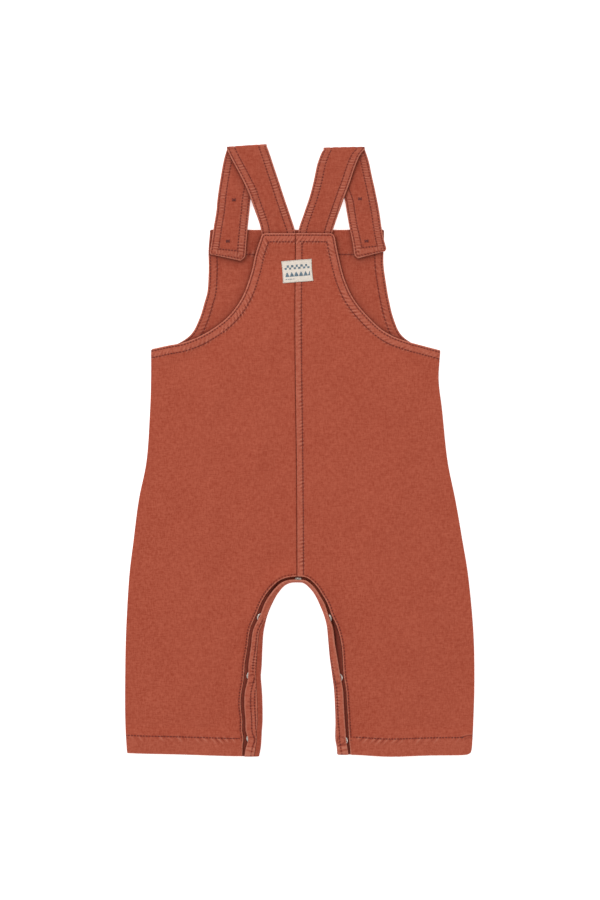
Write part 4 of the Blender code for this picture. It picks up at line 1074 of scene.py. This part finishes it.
def make_back(name, node, side, material):
    """One side of the back, from the centre seam to the side seam."""
    left = side < 0
    armhole = BACK_LEFT if left else BACK_RIGHT
    side_seam = LEFT_SIDE if left else RIGHT_SIDE
    hem_curve = LEFT_HEM_LINE if left else RIGHT_HEM_LINE
    seam = SEAM + np.array([side * 0.12, 0.0])
    edge = BACK_EDGE[:CROTCH] if left else BACK_EDGE[CROTCH:][::-1]
    edge = edge[edge[:, 0] < seam[-1, 0] - 0.6] if left else edge[edge[:, 0] > seam[-1, 0] + 0.6]
    hem = hem_up_to(hem_curve, edge[0, 0])
    over_crotch = BACK_EDGE[np.abs(BACK_EDGE[:, 0]) < 9.0]
    crotch = np.array([seam[-1, 0], np.interp(seam[-1, 0], over_crotch[:, 0], over_crotch[:, 1])])
    corner_x = armhole[0, 0] + (1.0 if left else -1.0)
    corner = rounded_corner((corner_x, BACK_TOP), armhole[0], (seam[0, 0], BACK_TOP), 3.4)
    outline = np.vstack([
        seam[1:],
        straight(seam[-1], crotch, FINE)[1:],
        edge[::-1],
        hem[::-1][1:],
        side_seam[::-1][1:],
        armhole[::-1][1:],
        corner[1:],
        straight(corner[-1], (seam[0, 0], BACK_TOP), FINE)[1:],
    ])
    if not left:
        outline = outline[::-1]
    spots = grid_spots(outline, FINE, -270.0, 190.0, 0.55 * FINE)
    flat, faces, _ = filled(outline, spots)
    top_line = np.vstack([armhole[::-1], corner, [[seam[0, 0], BACK_TOP]]])
    away, along = distance_to(flat, top_line)
    hem_away, hem_along = distance_to(flat, hem_curve)
    seam_away, seam_along = distance_to(flat, SEAM)
    edge_away, edge_along = distance_to(flat, BACK_EDGE)
    slant = 0.8 if left else -0.8
    pucker = puckers(away - INNER_ROW, along, slant)
    pucker = pucker + 0.45 * puckers(away - OUTER_ROW, along, 0.5 * slant, 1.0, 1.0, 2.2)
    hem_puckers = puckers(hem_away - LEG_HEM_ROW, hem_along, 0.9, 2.7, 5.0, 1.4)
    pucker = pucker + 0.75 * hem_puckers * smooth_step((edge_away - 4.0) / 5.0)
    relief = band_relief(away, INNER_ROW)
    relief = relief + TURNED_RISE * 0.8 * turned_up_to(hem_away, LEG_HEM_ROW + 0.4)
    relief = relief + stitch_groove(hem_away - LEG_HEM_ROW)
    if not left:
        band = TURNED_RISE * 0.8 * turned_up_to(seam_away, SEAM_ROW + 0.3)
        in_neck = smooth_step((away - 5.5) / 2.0)
        relief = relief + band + in_neck * stitch_groove(seam_away - SEAM_ROW)
        pucker = pucker + in_neck * puckers(seam_away - SEAM_ROW, seam_along, 0.3, 1.25, 3.4, 1.3)
    else:
        relief = relief - 0.35 * bell(seam_away / 1.0)
    relief = relief + 0.2 * pucker
    ridge = 0.55 * bell((edge_away - EDGE_RIDGE) / 0.55) - 0.45 * bell((edge_away - EDGE_GROOVE) / 0.5)
    relief = relief + ridge
    base = back_bottom(flat) + CLOTH / 2
    points = np.column_stack([flat, base])
    inner = np.minimum(away - INNER_ROW, hem_away - LEG_HEM_ROW)
    # the groove beside the inseam ridge also takes the painted groove shade
    inner = np.minimum(inner, edge_away - EDGE_GROOVE)
    turned = 0.8 * turned_up_to(away, INNER_ROW) + 0.25 * turned_up_to(hem_away, LEG_HEM_ROW)
    edges = np.minimum(away, np.minimum(edge_away + 0.1, hem_away + 0.5))
    nearest_along = np.where(away < 14.0, along, np.where(hem_away < 22.0, hem_along, edge_along))
    if not left:
        inner = np.minimum(inner, np.where(away < INNER_ROW, NO_SEAM, seam_away - SEAM_ROW))
        turned = np.maximum(turned, 0.9 * turned_up_to(seam_away, SEAM_ROW))
        nearest_along = np.where((seam_away < 9.0) & (away > 10.0), seam_along, nearest_along)
    # a line of painted shade along the left centre seam
    seam_dark = seam_away - 0.1 if left else NO_SEAM
    marks = {
        "painted_shade": 0.0,
        "outer_row": np.minimum(away - OUTER_ROW, seam_dark),
        "inner_row": np.minimum(inner, NO_SEAM),
        "edge": edges,
        "along": nearest_along,
        "turned": np.clip(turned, 0.0, 1.0),
        "pucker": pucker,
    }
    back = add_cloth(name, points, faces, CLOTH / 2 + relief, CLOTH / 2, marks, material)
    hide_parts(node)
    return back


def make_front_band(material):
    """The front's inseam band: the free edge of the lap, from hem to hem."""
    columns = 13
    rows = []
    depth = []
    for station in range(len(STATIONS)):
        rows.append(in_space(station, part_of_path(turned_path(station), 0.0, BAND_WIDTHS[station], columns)))
        depth.append(np.linspace(0.0, BAND_WIDTHS[station], columns))
    depth = np.concatenate(depth)
    width = np.repeat(BAND_WIDTHS, columns)
    along = np.repeat(ALONG_FOLD, columns)
    from_end = np.minimum(along, along[-1] - along)
    row_outer = depth - np.repeat(FIRST_ROW, columns)
    row_inner = depth - np.repeat(SECOND_ROW, columns)
    points = np.vstack(rows)
    lump = 0.9 * bell((from_end - 4.0) / 3.2) * bell((depth - 0.5 * width) / 4.5)
    relief = 0.25 * bell((depth - 0.8) / 0.7) + lump - 0.25 * bell(row_outer / 0.5) - 0.25 * bell(row_inner / 0.5)
    pucker = puckers(row_outer, along, 0.2, 1.1, 2.4, 2.6)
    # the end bars and grooves and the imprint rings go into the pucker mark, which paints their raised parts pale and
    # their dips dark: painted highlight and painted shade
    bars = bell((from_end - 5.4) / 1.0) + 0.8 * bell((from_end - 1.9) / 0.9)
    grooves = bell((from_end - 7.6) / 0.6) + 0.9 * bell((from_end - 3.6) / 0.55)
    pucker = pucker + 0.9 * bars - 0.9 * grooves
    for imprint in IMPRINTS:
        away = np.hypot(points[:, 0] - imprint.x, points[:, 1] - imprint.y)
        pucker = pucker * smooth_step((away - 1.0) / 3.0)
        pucker = pucker - 0.75 * bell((away - IMPRINT_RADIUS) / 0.55) + 0.4 * bell(away / 1.7)
    crease = 0.5 * uneven(np.column_stack([along, 0.6 * depth]), 16.0, 8) * smooth_step(depth / 3.0)
    pucker = pucker + 0.55 * np.clip(crease, -0.5, 0.5)
    relief = relief + 0.16 * pucker
    relief = relief + 0.3 * bell((width - depth - 0.5) / 0.5)
    marks = {
        "painted_shade": 0.0,
        "outer_row": row_outer,
        "inner_row": row_inner,
        "edge": np.minimum(depth, width - depth + 0.2),
        "along": along,
        "turned": 0.75,
        "pucker": pucker,
    }
    faces = strip_faces(len(STATIONS), columns)
    half = FRONT_BAND_THICK / 2
    band = add_cloth("front_inseam_cloth", points, faces, half + relief, half, marks, material)
    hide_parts("front_inseam_band")
    return band


def make_back_band(material):
    """The back's inseam band: under the lap, from the back's edge towards the fold."""
    columns = 9
    half = BACK_BAND_THICK / 2
    low = CLOTH + GAP + half
    rows = []
    for station in range(len(STATIONS)):
        standing = STANDING[station]
        under_back = smooth_step((standing - 0.9) / 0.1)
        edge = LAPS[station] + SPREADS[station] - 0.15 + under_back
        start = np.array([edge, low + (BACK_EDGE_LIFT - 1.1) * standing])
        lying_end = max(half + CLOTH + GAP, edge - BACK_BAND_WIDTH)
        end = np.array([lying_end + (edge - 0.4 - lying_end) * standing, low + 0.35 * standing])
        rows.append(in_space(station, np.linspace(start, end, columns)))
    along = np.repeat(ALONG_FOLD, columns)
    # painted shade over the whole band under the lap
    marks = {"painted_shade": 0.85, "outer_row": NO_SEAM, "inner_row": NO_SEAM, "edge": NO_SEAM, "along": along,
             "turned": 0.2, "pucker": 0.0}
    faces = strip_faces(len(STATIONS), columns)
    band = add_cloth("back_inseam_cloth", np.vstack(rows), faces, half, half, marks, material)
    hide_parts("back_inseam_band")
    return band


def falling_bottom(points, below):
    """Underside of a strap's outer part: on the surface, over its buttons and over the bib's top edge."""
    past_edge = points[:, 1] - BIB_TOP
    bib = front_rise(points) * smooth_step((BIB_EDGE_FALL - past_edge) / (BIB_EDGE_FALL - 8.0))
    resting = np.maximum(bib + GAP, np.maximum(button_bump(points, False), button_bump(points, True)))
    return np.maximum(resting, heights_on(below, points) + GAP)


def rising_bottom(points, outer_edge, side, below):
    """Underside of a strap's inner part: over its own outer part, then down to the bib's top edge."""
    across = (points[:, 0] - np.interp(points[:, 1], outer_edge[:, 1], outer_edge[:, 0])) * side
    covered = smooth_step(1.0 - across / 14.0)
    on_outer = (falling_bottom(points, below) + DOUBLE_CLOTH + GAP + 0.3) * covered
    at_bib = CLOTH + TURNED_RISE + button_bump(points, True)
    return np.maximum(on_outer, np.maximum(at_bib, heights_on(below, points)) + GAP)


def make_strap(name, node, rising, fold, falling, side, below, material):
    """A strap of double cloth, folded over at the shoulder."""
    half = DOUBLE_CLOTH / 2 - 0.1
    columns = STRAP_COLUMNS
    fold_left, fold_right = np.array(fold[:2]), np.array(fold[2:])
    line = (fold_right - fold_left) / np.linalg.norm(fold_right - fold_left)
    up = np.array([-line[1], line[0]])
    inner_edge = np.array([row[2:] if side > 0 else row[:2] for row in [fold, *falling]])[::-1]
    outer_edge = inner_edge[np.argsort(inner_edge[:, 1])]
    share = np.linspace(0.0, 1.0, columns)[:, None]

    def across(row):
        return row[:2] + (row[2:] - row[:2]) * share

    def rows_of(table, fold_first):
        fold_row = np.array([*(fold_left - up * near), *(fold_right - up * near)])
        table = [fold_row, *table] if fold_first else [*table, fold_row]
        middles = np.array([[(r[0] + r[2]) / 2, (r[1] + r[3]) / 2, *r] for r in np.array(table)])
        return curve_through(middles, STRAP_FINE)[:, 2:]

    fold_points = across(np.array(fold, dtype=float))
    high = rising_bottom(fold_points, outer_edge, side, below).mean() + half
    low = falling_bottom(fold_points, below).mean() + half
    radius = (high - low) / 2
    near = radius + half
    rows = []
    for row in rows_of([tuple(r) for r in rising], False):
        flat = across(row)
        fade = smooth_step((flat[:, 1] - fold_points[:, 1] + near + 12.0) / 12.0)
        height = rising_bottom(flat, outer_edge, side, below) + half
        rows.append(np.column_stack([flat, height * (1 - fade) + high * fade]))
    rising_count = len(rows)
    for angle in np.linspace(math.pi / 2, -math.pi / 2, 11)[1:-1]:
        flat = fold_points - up * near + up * radius * math.cos(angle)
        rows.append(np.column_stack([flat, np.full(columns, (high + low) / 2 + radius * math.sin(angle))]))
    for row in rows_of([tuple(r) for r in falling], True):
        flat = across(row)
        fade = smooth_step((flat[:, 1] - fold_points[:, 1] + near + 12.0) / 12.0)
        height = falling_bottom(flat, below) + half
        rows.append(np.column_stack([flat, height * (1 - fade) + low * fade]))
    grid = smoothed_grid(np.array(rows))
    steps = np.linalg.norm(np.diff(grid[:, columns // 2], axis=0), axis=1)
    along_row = np.concatenate([[0.0], np.cumsum(steps)])
    widths = np.linalg.norm(grid[:, 0] - grid[:, -1], axis=1)
    across_all = share[:, 0][None] * widths[:, None]
    from_side = np.minimum(across_all, widths[:, None] - across_all)
    from_end = np.repeat((along_row[-1] - along_row)[:, None], columns, axis=1)
    away = np.minimum(from_side, from_end).ravel()
    along = np.where(from_side <= from_end, along_row[:, None], across_all).ravel()
    pucker = strap_puckers(away, along)
    flat = grid.reshape(-1, 3)
    first_outer = rising_count * columns
    near_edge = np.array([row[:2] if side > 0 else row[2:] for row in [*rising, fold]])
    # painted shadow on the outer part beside the inner part's edge, and on the inner part below the back's top edge
    painted_shade = np.zeros(len(flat))
    painted_shade[first_outer:] = painted_shade_by(flat[first_outer:], near_edge)
    back_top_line = np.array([[-31.0, BACK_TOP], [28.0, BACK_TOP]])
    painted_shade[:first_outer] = painted_shade_by(flat[:first_outer], back_top_line, reach=1.6, depth=0.6)
    relief = strap_relief(away, along) + 0.14 * pucker
    marks = {
        "painted_shade": painted_shade,
        "outer_row": away - OUTER_ROW,
        "inner_row": away - STRAP_INNER_ROW,
        "edge": away,
        "along": along,
        "turned": 0.8 * smooth_step((STRAP_INNER_ROW + 1.5 - away) / 1.5),
        "pucker": pucker,
    }
    faces = strip_faces(len(grid), columns)
    strap = add_cloth(name, grid.reshape(-1, 3), faces, half + relief, half + relief, marks, material)
    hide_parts(node)
    return strap, grid, rising_count


def smoothed_grid(grid):
    """A strap's rows with their heights evened out along it."""
    heights = grid[..., 2]
    for _ in range(6):
        heights[1:-1] = 0.25 * heights[:-2] + 0.5 * heights[1:-1] + 0.25 * heights[2:]
    return grid


def strap_puckers(away, along):
    """The ladder of puckers between a strap's two stitch rows, from -1 to 1."""
    phase = 2 * math.pi * along / (STITCH_PITCH * 1.02) + 1.0 * uneven(along[:, None], 19.0, 1)
    size = np.clip(0.7 + 0.4 * uneven(along[:, None], 15.0, 3), 0.1, 1.2)
    return size * bell((away - 4.6) / 2.6) * np.sin(phase)


def strap_relief(away, along):
    """Height of a strap's surface: sunk at its stitch rows and softly uneven between them."""
    relief = 0.10 - 0.26 * bell((away - OUTER_ROW) / 0.5) - 0.30 * bell((away - STRAP_INNER_ROW) / 0.6)
    quilt = 0.14 * uneven(np.column_stack([along, away]), 7.0, 6) * smooth_step((away - STRAP_INNER_ROW) / 3.0)
    return relief + quilt


def make_label(below, material):
    """The woven label, on the points of the back moved out, with generic woven figures."""
    columns = round(LABEL_WIDTH / LABEL_STEP) + 1
    rows = round(LABEL_HEIGHT / LABEL_STEP) + 1
    x, y = np.meshgrid(np.linspace(0.0, LABEL_WIDTH, columns), np.linspace(0.0, LABEL_HEIGHT, rows))
    x, y = x.ravel(), y.ravel()
    bow = 0.35 * np.sin(math.pi * y / LABEL_HEIGHT) * np.sign(x - LABEL_WIDTH / 2) * smooth_step(
        (np.abs(x - LABEL_WIDTH / 2) - 9.0) / 4.0)
    across = x - LABEL_WIDTH / 2 - bow
    up = y - LABEL_HEIGHT / 2
    flat = np.column_stack([
        LABEL_CENTRE.x + across * math.cos(LABEL_TILT) - up * math.sin(LABEL_TILT),
        LABEL_CENTRE.y + across * math.sin(LABEL_TILT) + up * math.cos(LABEL_TILT),
    ])
    heights = heights_on(below, flat).reshape(rows, columns)
    for _ in range(14):
        padded = np.pad(heights, 1, mode="edge")
        mean = (padded[:-2, 1:-1] + padded[2:, 1:-1] + padded[1:-1, :-2] + padded[1:-1, 2:]) / 4
        heights = np.maximum(heights, mean)
    edge = np.minimum(np.minimum(x, LABEL_WIDTH - x), np.minimum(y, LABEL_HEIGHT - y))
    half = LABEL_THICK / 2
    points = np.column_stack([flat, heights.ravel() + 0.12 + half])
    marks = {"ink": label_figures(x, y), "edge": edge}
    relief = -0.12 * bell((edge - 1.3) / 0.4)
    label = add_cloth("label_cloth", points, strip_faces(rows, columns), half + relief, half, marks, material)
    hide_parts("label")
    return label


def label_figures(x, y):
    """Where the slate yarn shows: two rows of checks, a row of small hills and a short row of dashes."""
    block = 1.95
    start = 2.3
    within = (x > start) & (x < start + 11 * block)
    column = np.floor((x - start) / block)
    row = np.floor((y - 11.0) / block)
    checks = (row >= 0) & (row < 2) & ((column + row) % 2 == 0)
    hill = 2 * block
    phase = np.abs((x - start) % hill - hill / 2)
    hills = (y > 5.0) & (y < 8.9 - 1.7 * phase**1.3)
    dashes = (x > start) & (x < start + 8.6) & (np.abs(y - 3.0) < 0.4) & ((x % 1.5) < 1.05)
    return np.where((within & (checks | hills)) | dashes, 1.0, 0.0)


# Sewing and snaps

def stitch(start, end, up, thick=1.0):
    """A thread that rises out of the cloth and sinks in again: five rings of a bent tube."""
    along = end - start
    length = np.linalg.norm(along)
    along = along / length
    side = np.cross(up, along)
    side /= np.linalg.norm(side)
    rings = []
    for share, lift, size in STITCH_RINGS:
        centre = start + along * length * share + up * lift
        for angle in np.linspace(0.0, 2 * math.pi, 5, endpoint=False):
            offset = side * math.cos(angle) + up * math.sin(angle) * 0.75
            rings.append(centre + offset * THREAD_RADIUS * size * thick)
    faces = []
    for ring in range(4):
        for i in range(5):
            j = (i + 1) % 5
            faces.append((ring * 5 + i, ring * 5 + j, ring * 5 + 5 + j, ring * 5 + 5 + i))
    faces.append((4, 3, 2, 1, 0))
    faces.append((20, 21, 22, 23, 24))
    return np.array(rings), faces


def sewn(line, tree, phase=0.0):
    """Stitches along a line on the uppermost cloth."""
    line = np.asarray(line, dtype=float)[:, :2]
    steps = np.linalg.norm(np.diff(line, axis=0), axis=1)
    along = np.concatenate([[0.0], np.cumsum(steps)])
    starts = np.arange(0.3 + phase, along[-1] - STITCH_LENGTH, STITCH_PITCH)
    starts = starts + 0.12 * uneven(starts[:, None], 6.0, 1)

    def at(lengths):
        return np.column_stack([np.interp(lengths, along, line[:, 0]), np.interp(lengths, along, line[:, 1])])

    first, last = at(starts), at(starts + STITCH_LENGTH)
    first_height, last_height = heights_on(tree, first), heights_on(tree, last)
    made = []
    for a, az, b, bz in zip(first, first_height, last, last_height):
        if az <= 0.0 or bz <= 0.0 or abs(az - bz) > 0.9:
            continue
        made.append(stitch(np.array([*a, az + 0.05]), np.array([*b, bz + 0.05]), UP))
    return made


def inset_path(armhole, corner, end, distance, left):
    """A stitch row at a distance inside the back's armhole and top edge."""
    line = np.vstack([armhole[::-1], corner, end])
    line = even_steps(line, 0.8)
    moved = offset_line(line, -distance if left else distance)
    return moved


def seam_stitches(trees):
    """The stitch rows on the back and the bib: round the armholes and the top, along the hems, the seam and the inseam
    edge.
    """
    made = []
    back, bib = trees["back"], trees["bib"]
    for armhole, left in ((BACK_LEFT, True), (BACK_RIGHT, False)):
        corner_x = armhole[0, 0] + (1.0 if left else -1.0)
        corner = rounded_corner((corner_x, BACK_TOP), armhole[0], (0.0, BACK_TOP), 3.4)
        end = np.array([[seam_x(BACK_TOP) + (-0.8 if left else 0.8), BACK_TOP]])
        for distance in (OUTER_ROW, INNER_ROW):
            row = inset_path(armhole, corner, end, distance, left)
            away = distance_to(row, np.vstack([armhole[::-1], corner, end]))[0]
            made += sewn(row[away > distance - 0.25], back)
    for hem in (LEFT_HEM_LINE, RIGHT_HEM_LINE):
        side = 1.0 if hem is LEFT_HEM_LINE else -1.0
        row = offset_line(hem, side * LEG_HEM_ROW)
        inner_limit = 51.0 if hem is LEFT_HEM_LINE else 45.0
        made += sewn(row[(np.abs(row[:, 0]) > inner_limit) & (np.abs(row[:, 0]) < 146.2)], back)
    row = SEAM + np.array([SEAM_ROW, 0.0])
    made += sewn(row[(row[:, 1] < BACK_TOP - INNER_ROW - 0.4)], back)
    groove = offset_line(BACK_EDGE, EDGE_GROOVE)
    made += sewn(groove[np.abs(groove[:, 1] + 180.0) < 68.0], back)
    for armhole, left in ((BIB_LEFT, True), (BIB_RIGHT, False)):
        side = 1.0 if left else -1.0
        for distance in (OUTER_ROW, INNER_ROW):
            made += sewn(offset_line(armhole, side * distance), bib)
    hem_row = straight((-68.5, BIB_TOP - BIB_HEM_ROW), (64.0, BIB_TOP - BIB_HEM_ROW), 1.0)
    made += sewn(hem_row, bib)
    return made


def strap_stitches(grid, rising_count):
    """Stitch rows along both sides of a strap, and across its end, on the side that shows."""
    made = []
    columns = grid.shape[1]
    half = DOUBLE_CLOTH / 2 - 0.1
    for start, stop, sign in ((0, rising_count + 3, 1.0), (rising_count + 6, len(grid), 1.0)):
        part = grid[start:stop]
        widths = np.linalg.norm(part[:, 0] - part[:, -1], axis=1)
        for distance in (OUTER_ROW, STRAP_INNER_ROW):
            for from_left in (True, False):
                share = distance / widths
                share = share if from_left else 1.0 - share
                place = share * (columns - 1)
                low = np.floor(place).astype(int)
                part_way = (place - low)[:, None]
                rows = np.arange(len(part))
                line = part[rows, low] * (1 - part_way) + part[rows, np.minimum(low + 1, columns - 1)] * part_way
                ends_here = stop == len(grid)
                if ends_here:
                    from_end = np.linalg.norm(line - line[-1], axis=1)
                    line = line[from_end > distance - 0.4]
                made += sewn_in_space(line, half * sign)
    tail = grid[-1] - grid[-9]
    step = np.linalg.norm(tail, axis=1).mean() / 8
    for distance in (OUTER_ROW, STRAP_INNER_ROW):
        row = grid[-1 - max(1, round(distance / step))]
        first = int(distance / np.linalg.norm(row[0] - row[-1]) * (columns - 1)) + 1
        made += sewn_in_space(row[first:columns - first], half)
    return made


def sewn_in_space(line, lift):
    """Stitches along a line in space, that much above it."""
    steps = np.linalg.norm(np.diff(line, axis=0), axis=1)
    along = np.concatenate([[0.0], np.cumsum(steps)])
    made = []
    for start in np.arange(0.4, along[-1] - STITCH_LENGTH, STITCH_PITCH):
        ends = []
        for length in (start, start + STITCH_LENGTH):
            ends.append(np.array([np.interp(length, along, line[:, k]) for k in range(3)]))
        if abs(ends[0][2] - ends[1][2]) < 1.0:
            made.append(stitch(ends[0] + UP * (lift - 0.02), ends[1] + UP * (lift - 0.02), UP))
    return made


def band_stitches():
    """Rows along the front's inseam band, each stretch between two places where the rows shift."""
    made = []
    for depths in (FIRST_ROW, SECOND_ROW):
        line = []
        for station, depth in enumerate(depths):
            sewn_here = 0.0 < depth < BAND_WIDTHS[station] - 0.2
            if sewn_here:
                place = part_of_path(turned_path(station), depth, depth + 0.1, 2)
                line.append((depth, in_space(station, place)[0]))
            if line and (not sewn_here or line[0][0] != depth or station == len(depths) - 1):
                if len(line) > 6:
                    made += sewn_in_space(np.array([place for _, place in line[2:-1]]), FRONT_BAND_THICK / 2)
                line = []
    return made


def button_marks(trees):
    """The thread that holds each button, where it shows on the strap: a small box with a bar."""
    made = []
    for button in BUTTONS:
        offsets = [((-1.2, -1.5), (-1.2, 1.5)), ((1.2, -1.4), (1.2, 1.6)), ((-1.6, 0.5), (1.5, 0.4)),
                   ((-1.5, -0.7), (1.6, -0.6))]
        for (x1, y1), (x2, y2) in offsets:
            first = np.array([[button.x + x1, button.y + y1]])
            last = np.array([[button.x + x2, button.y + y2]])
            z1, z2 = heights_on(trees["straps"], first)[0], heights_on(trees["straps"], last)[0]
            first_end = np.array([*first[0], z1 + 0.06])
            last_end = np.array([*last[0], z2 + 0.06])
            made.append(stitch(first_end, last_end, UP, 1.5))
    return made


def turned_body(profile, sides):
    """Points and faces of a body turned about Z from a profile of radius and height."""
    points = []
    rings = []
    for radius, height in profile:
        if radius == 0.0:
            rings.append([len(points)])
            points.append((0.0, 0.0, height))
            continue
        rings.append(list(range(len(points), len(points) + sides)))
        for i in range(sides):
            angle = 2 * math.pi * i / sides
            points.append((radius * math.cos(angle), radius * math.sin(angle), height))
    faces = []
    for upper, lower in zip(rings, rings[1:]):
        for i in range(sides):
            j = (i + 1) % sides
            if len(upper) == 1:
                faces.append((upper[0], lower[i], lower[j]))
            elif len(lower) == 1:
                faces.append((upper[j], upper[i], lower[0]))
            else:
                faces.append((upper[j], upper[i], lower[i], lower[j]))
    return np.array(points), faces


def snap_profile():
    """A ring snap: a domed cap with a rolled rim, over its ring on the other band."""
    r = SNAP_RADIUS
    cap = [(0.0, 0.42), (r * 0.45, 0.46), (r * 0.62, 0.34), (r * 0.78, 0.62), (r * 0.92, 0.66), (r, 0.45), (r, 0.25),
           (r * 0.9, 0.12), (r * 0.6, 0.1)]
    return cap + [(radius, -height) for radius, height in reversed(cap)]


def make_snaps(material):
    pieces = []
    for number, snap in enumerate(SNAPS, 1):
        station = int(np.hypot(*(FOLD_LINE + INWARD * LAPS[:, None] - np.array(snap)).T).argmin())
        path = turned_path(station)
        shows = 1.5 - 0.3 * STANDING[station]
        free, _, far = part_of_path(path, 0.0, 2 * 2.6, 3)
        along = (far - free) / np.linalg.norm(far - free)
        down = np.array([-along[1], along[0]])
        centre = free + along * (SNAP_RADIUS - shows) + down * (FRONT_BAND_THICK / 2 + 0.75)
        place = in_space(station, centre[None])[0]
        axis = Vector((*(-down[0] * INWARD[station]), -down[1])).normalized()
        points, faces = turned_body(snap_profile(), 28)
        turn = np.array(axis.to_track_quat("Z", "Y").to_matrix())
        piece = joined_mesh(f"snap_ring_{number}", [(points @ turn.T + place, faces)], material)
        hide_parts(f"snap_{number}")
        pieces.append(piece)
    return pieces


# Camera, floor and light

def set_camera():
    data = bpy.data.cameras.new("camera")
    data.lens = 120.0
    data.sensor_fit = "VERTICAL"
    data.sensor_height = 36.0
    camera = bpy.data.objects.new("camera", data)
    camera.location = (0.425 * MM, 0.425 * MM, 2.553)
    bpy.context.scene.collection.objects.link(camera)
    bpy.context.scene.camera = camera


def set_stage():
    mesh = bpy.data.meshes.new("floor")
    size = 6.0
    mesh.from_pydata([(-size, -size, -0.0001), (size, -size, -0.0001), (size, size, -0.0001), (-size, size, -0.0001)],
                     [], [(0, 1, 2, 3)])
    material, nodes, _ = node_tree("floor_white")
    inputs = nodes["Principled BSDF"].inputs
    inputs["Base Color"].default_value = (0.93, 0.93, 0.93, 1.0)
    inputs["Roughness"].default_value = 0.9
    inputs["Emission Color"].default_value = (1.0, 1.0, 1.0, 1.0)
    inputs["Emission Strength"].default_value = 0.62
    mesh.materials.append(material)
    floor = bpy.data.objects.new("floor", mesh)
    bpy.context.scene.collection.objects.link(floor)


def add_light(name, location, size, power):
    data = bpy.data.lights.new(name, "AREA")
    data.size = size
    data.energy = power
    light = bpy.data.objects.new(name, data)
    light.location = location
    light.rotation_euler = (-Vector(location)).to_track_quat("-Z", "Y").to_euler()
    bpy.context.scene.collection.objects.link(light)


def set_light():
    world = bpy.data.worlds.new("studio")
    world.use_nodes = True
    background = world.node_tree.nodes["Background"]
    background.inputs["Color"].default_value = (1.0, 1.0, 1.0, 1.0)
    background.inputs["Strength"].default_value = 0.72
    bpy.context.scene.world = world
    add_light("key", (-1.3, 1.7, 1.9), 1.2, 27.0)
    add_light("fill", (1.8, -0.9, 2.2), 1.8, 6.0)
    bpy.context.scene.view_settings.view_transform = "Standard"


# Building it all

set_camera()
cloth = cloth_material("washed_cloth_body")
inside_cloth = cloth_material("washed_cloth_inside", 0.95)
bands = cloth_material("washed_cloth_bands", 0.97)
strap_cloth = cloth_material("washed_cloth_straps", 0.92)
thread = thread_material()
metal = metal_material()

front = make_front(inside_cloth)
back_left = make_back("back_left_cloth", "back_left", -1, cloth)
back_right = make_back("back_right_cloth", "back_right", 1, cloth)
front_band = make_front_band(bands)
back_band = make_back_band(bands)
bib_tree = top_of(front)
left_strap, left_grid, left_rise = make_strap(
    "strap_left_cloth", "strap_left", LEFT_STRAP_RISING, LEFT_STRAP_FOLD, LEFT_STRAP_FALLING, 1, bib_tree,
    strap_cloth)
right_strap, right_grid, right_rise = make_strap(
    "strap_right_cloth", "strap_right", RIGHT_STRAP_RISING, RIGHT_STRAP_FOLD, RIGHT_STRAP_FALLING, -1, bib_tree,
    strap_cloth)
back_tree = top_of(back_left, back_right)
label = make_label(back_tree, label_material())
snaps = make_snaps(metal)
trees = {"back": back_tree, "bib": bib_tree, "straps": top_of(left_strap, right_strap)}
panel_sewing = joined_mesh("panel_sewing", seam_stitches(trees), thread)
strap_sewing = joined_mesh(
    "strap_sewing",
    strap_stitches(left_grid, left_rise) + strap_stitches(right_grid, right_rise) + button_marks(trees), thread)
band_sewing = joined_mesh("inseam_sewing", band_stitches(), thread)
buttons = button_material()
for number in range(1, 5):
    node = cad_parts[f"button_{number}"]
    node.data.materials.clear()
    node.data.materials.append(buttons)

set_stage()
set_light()
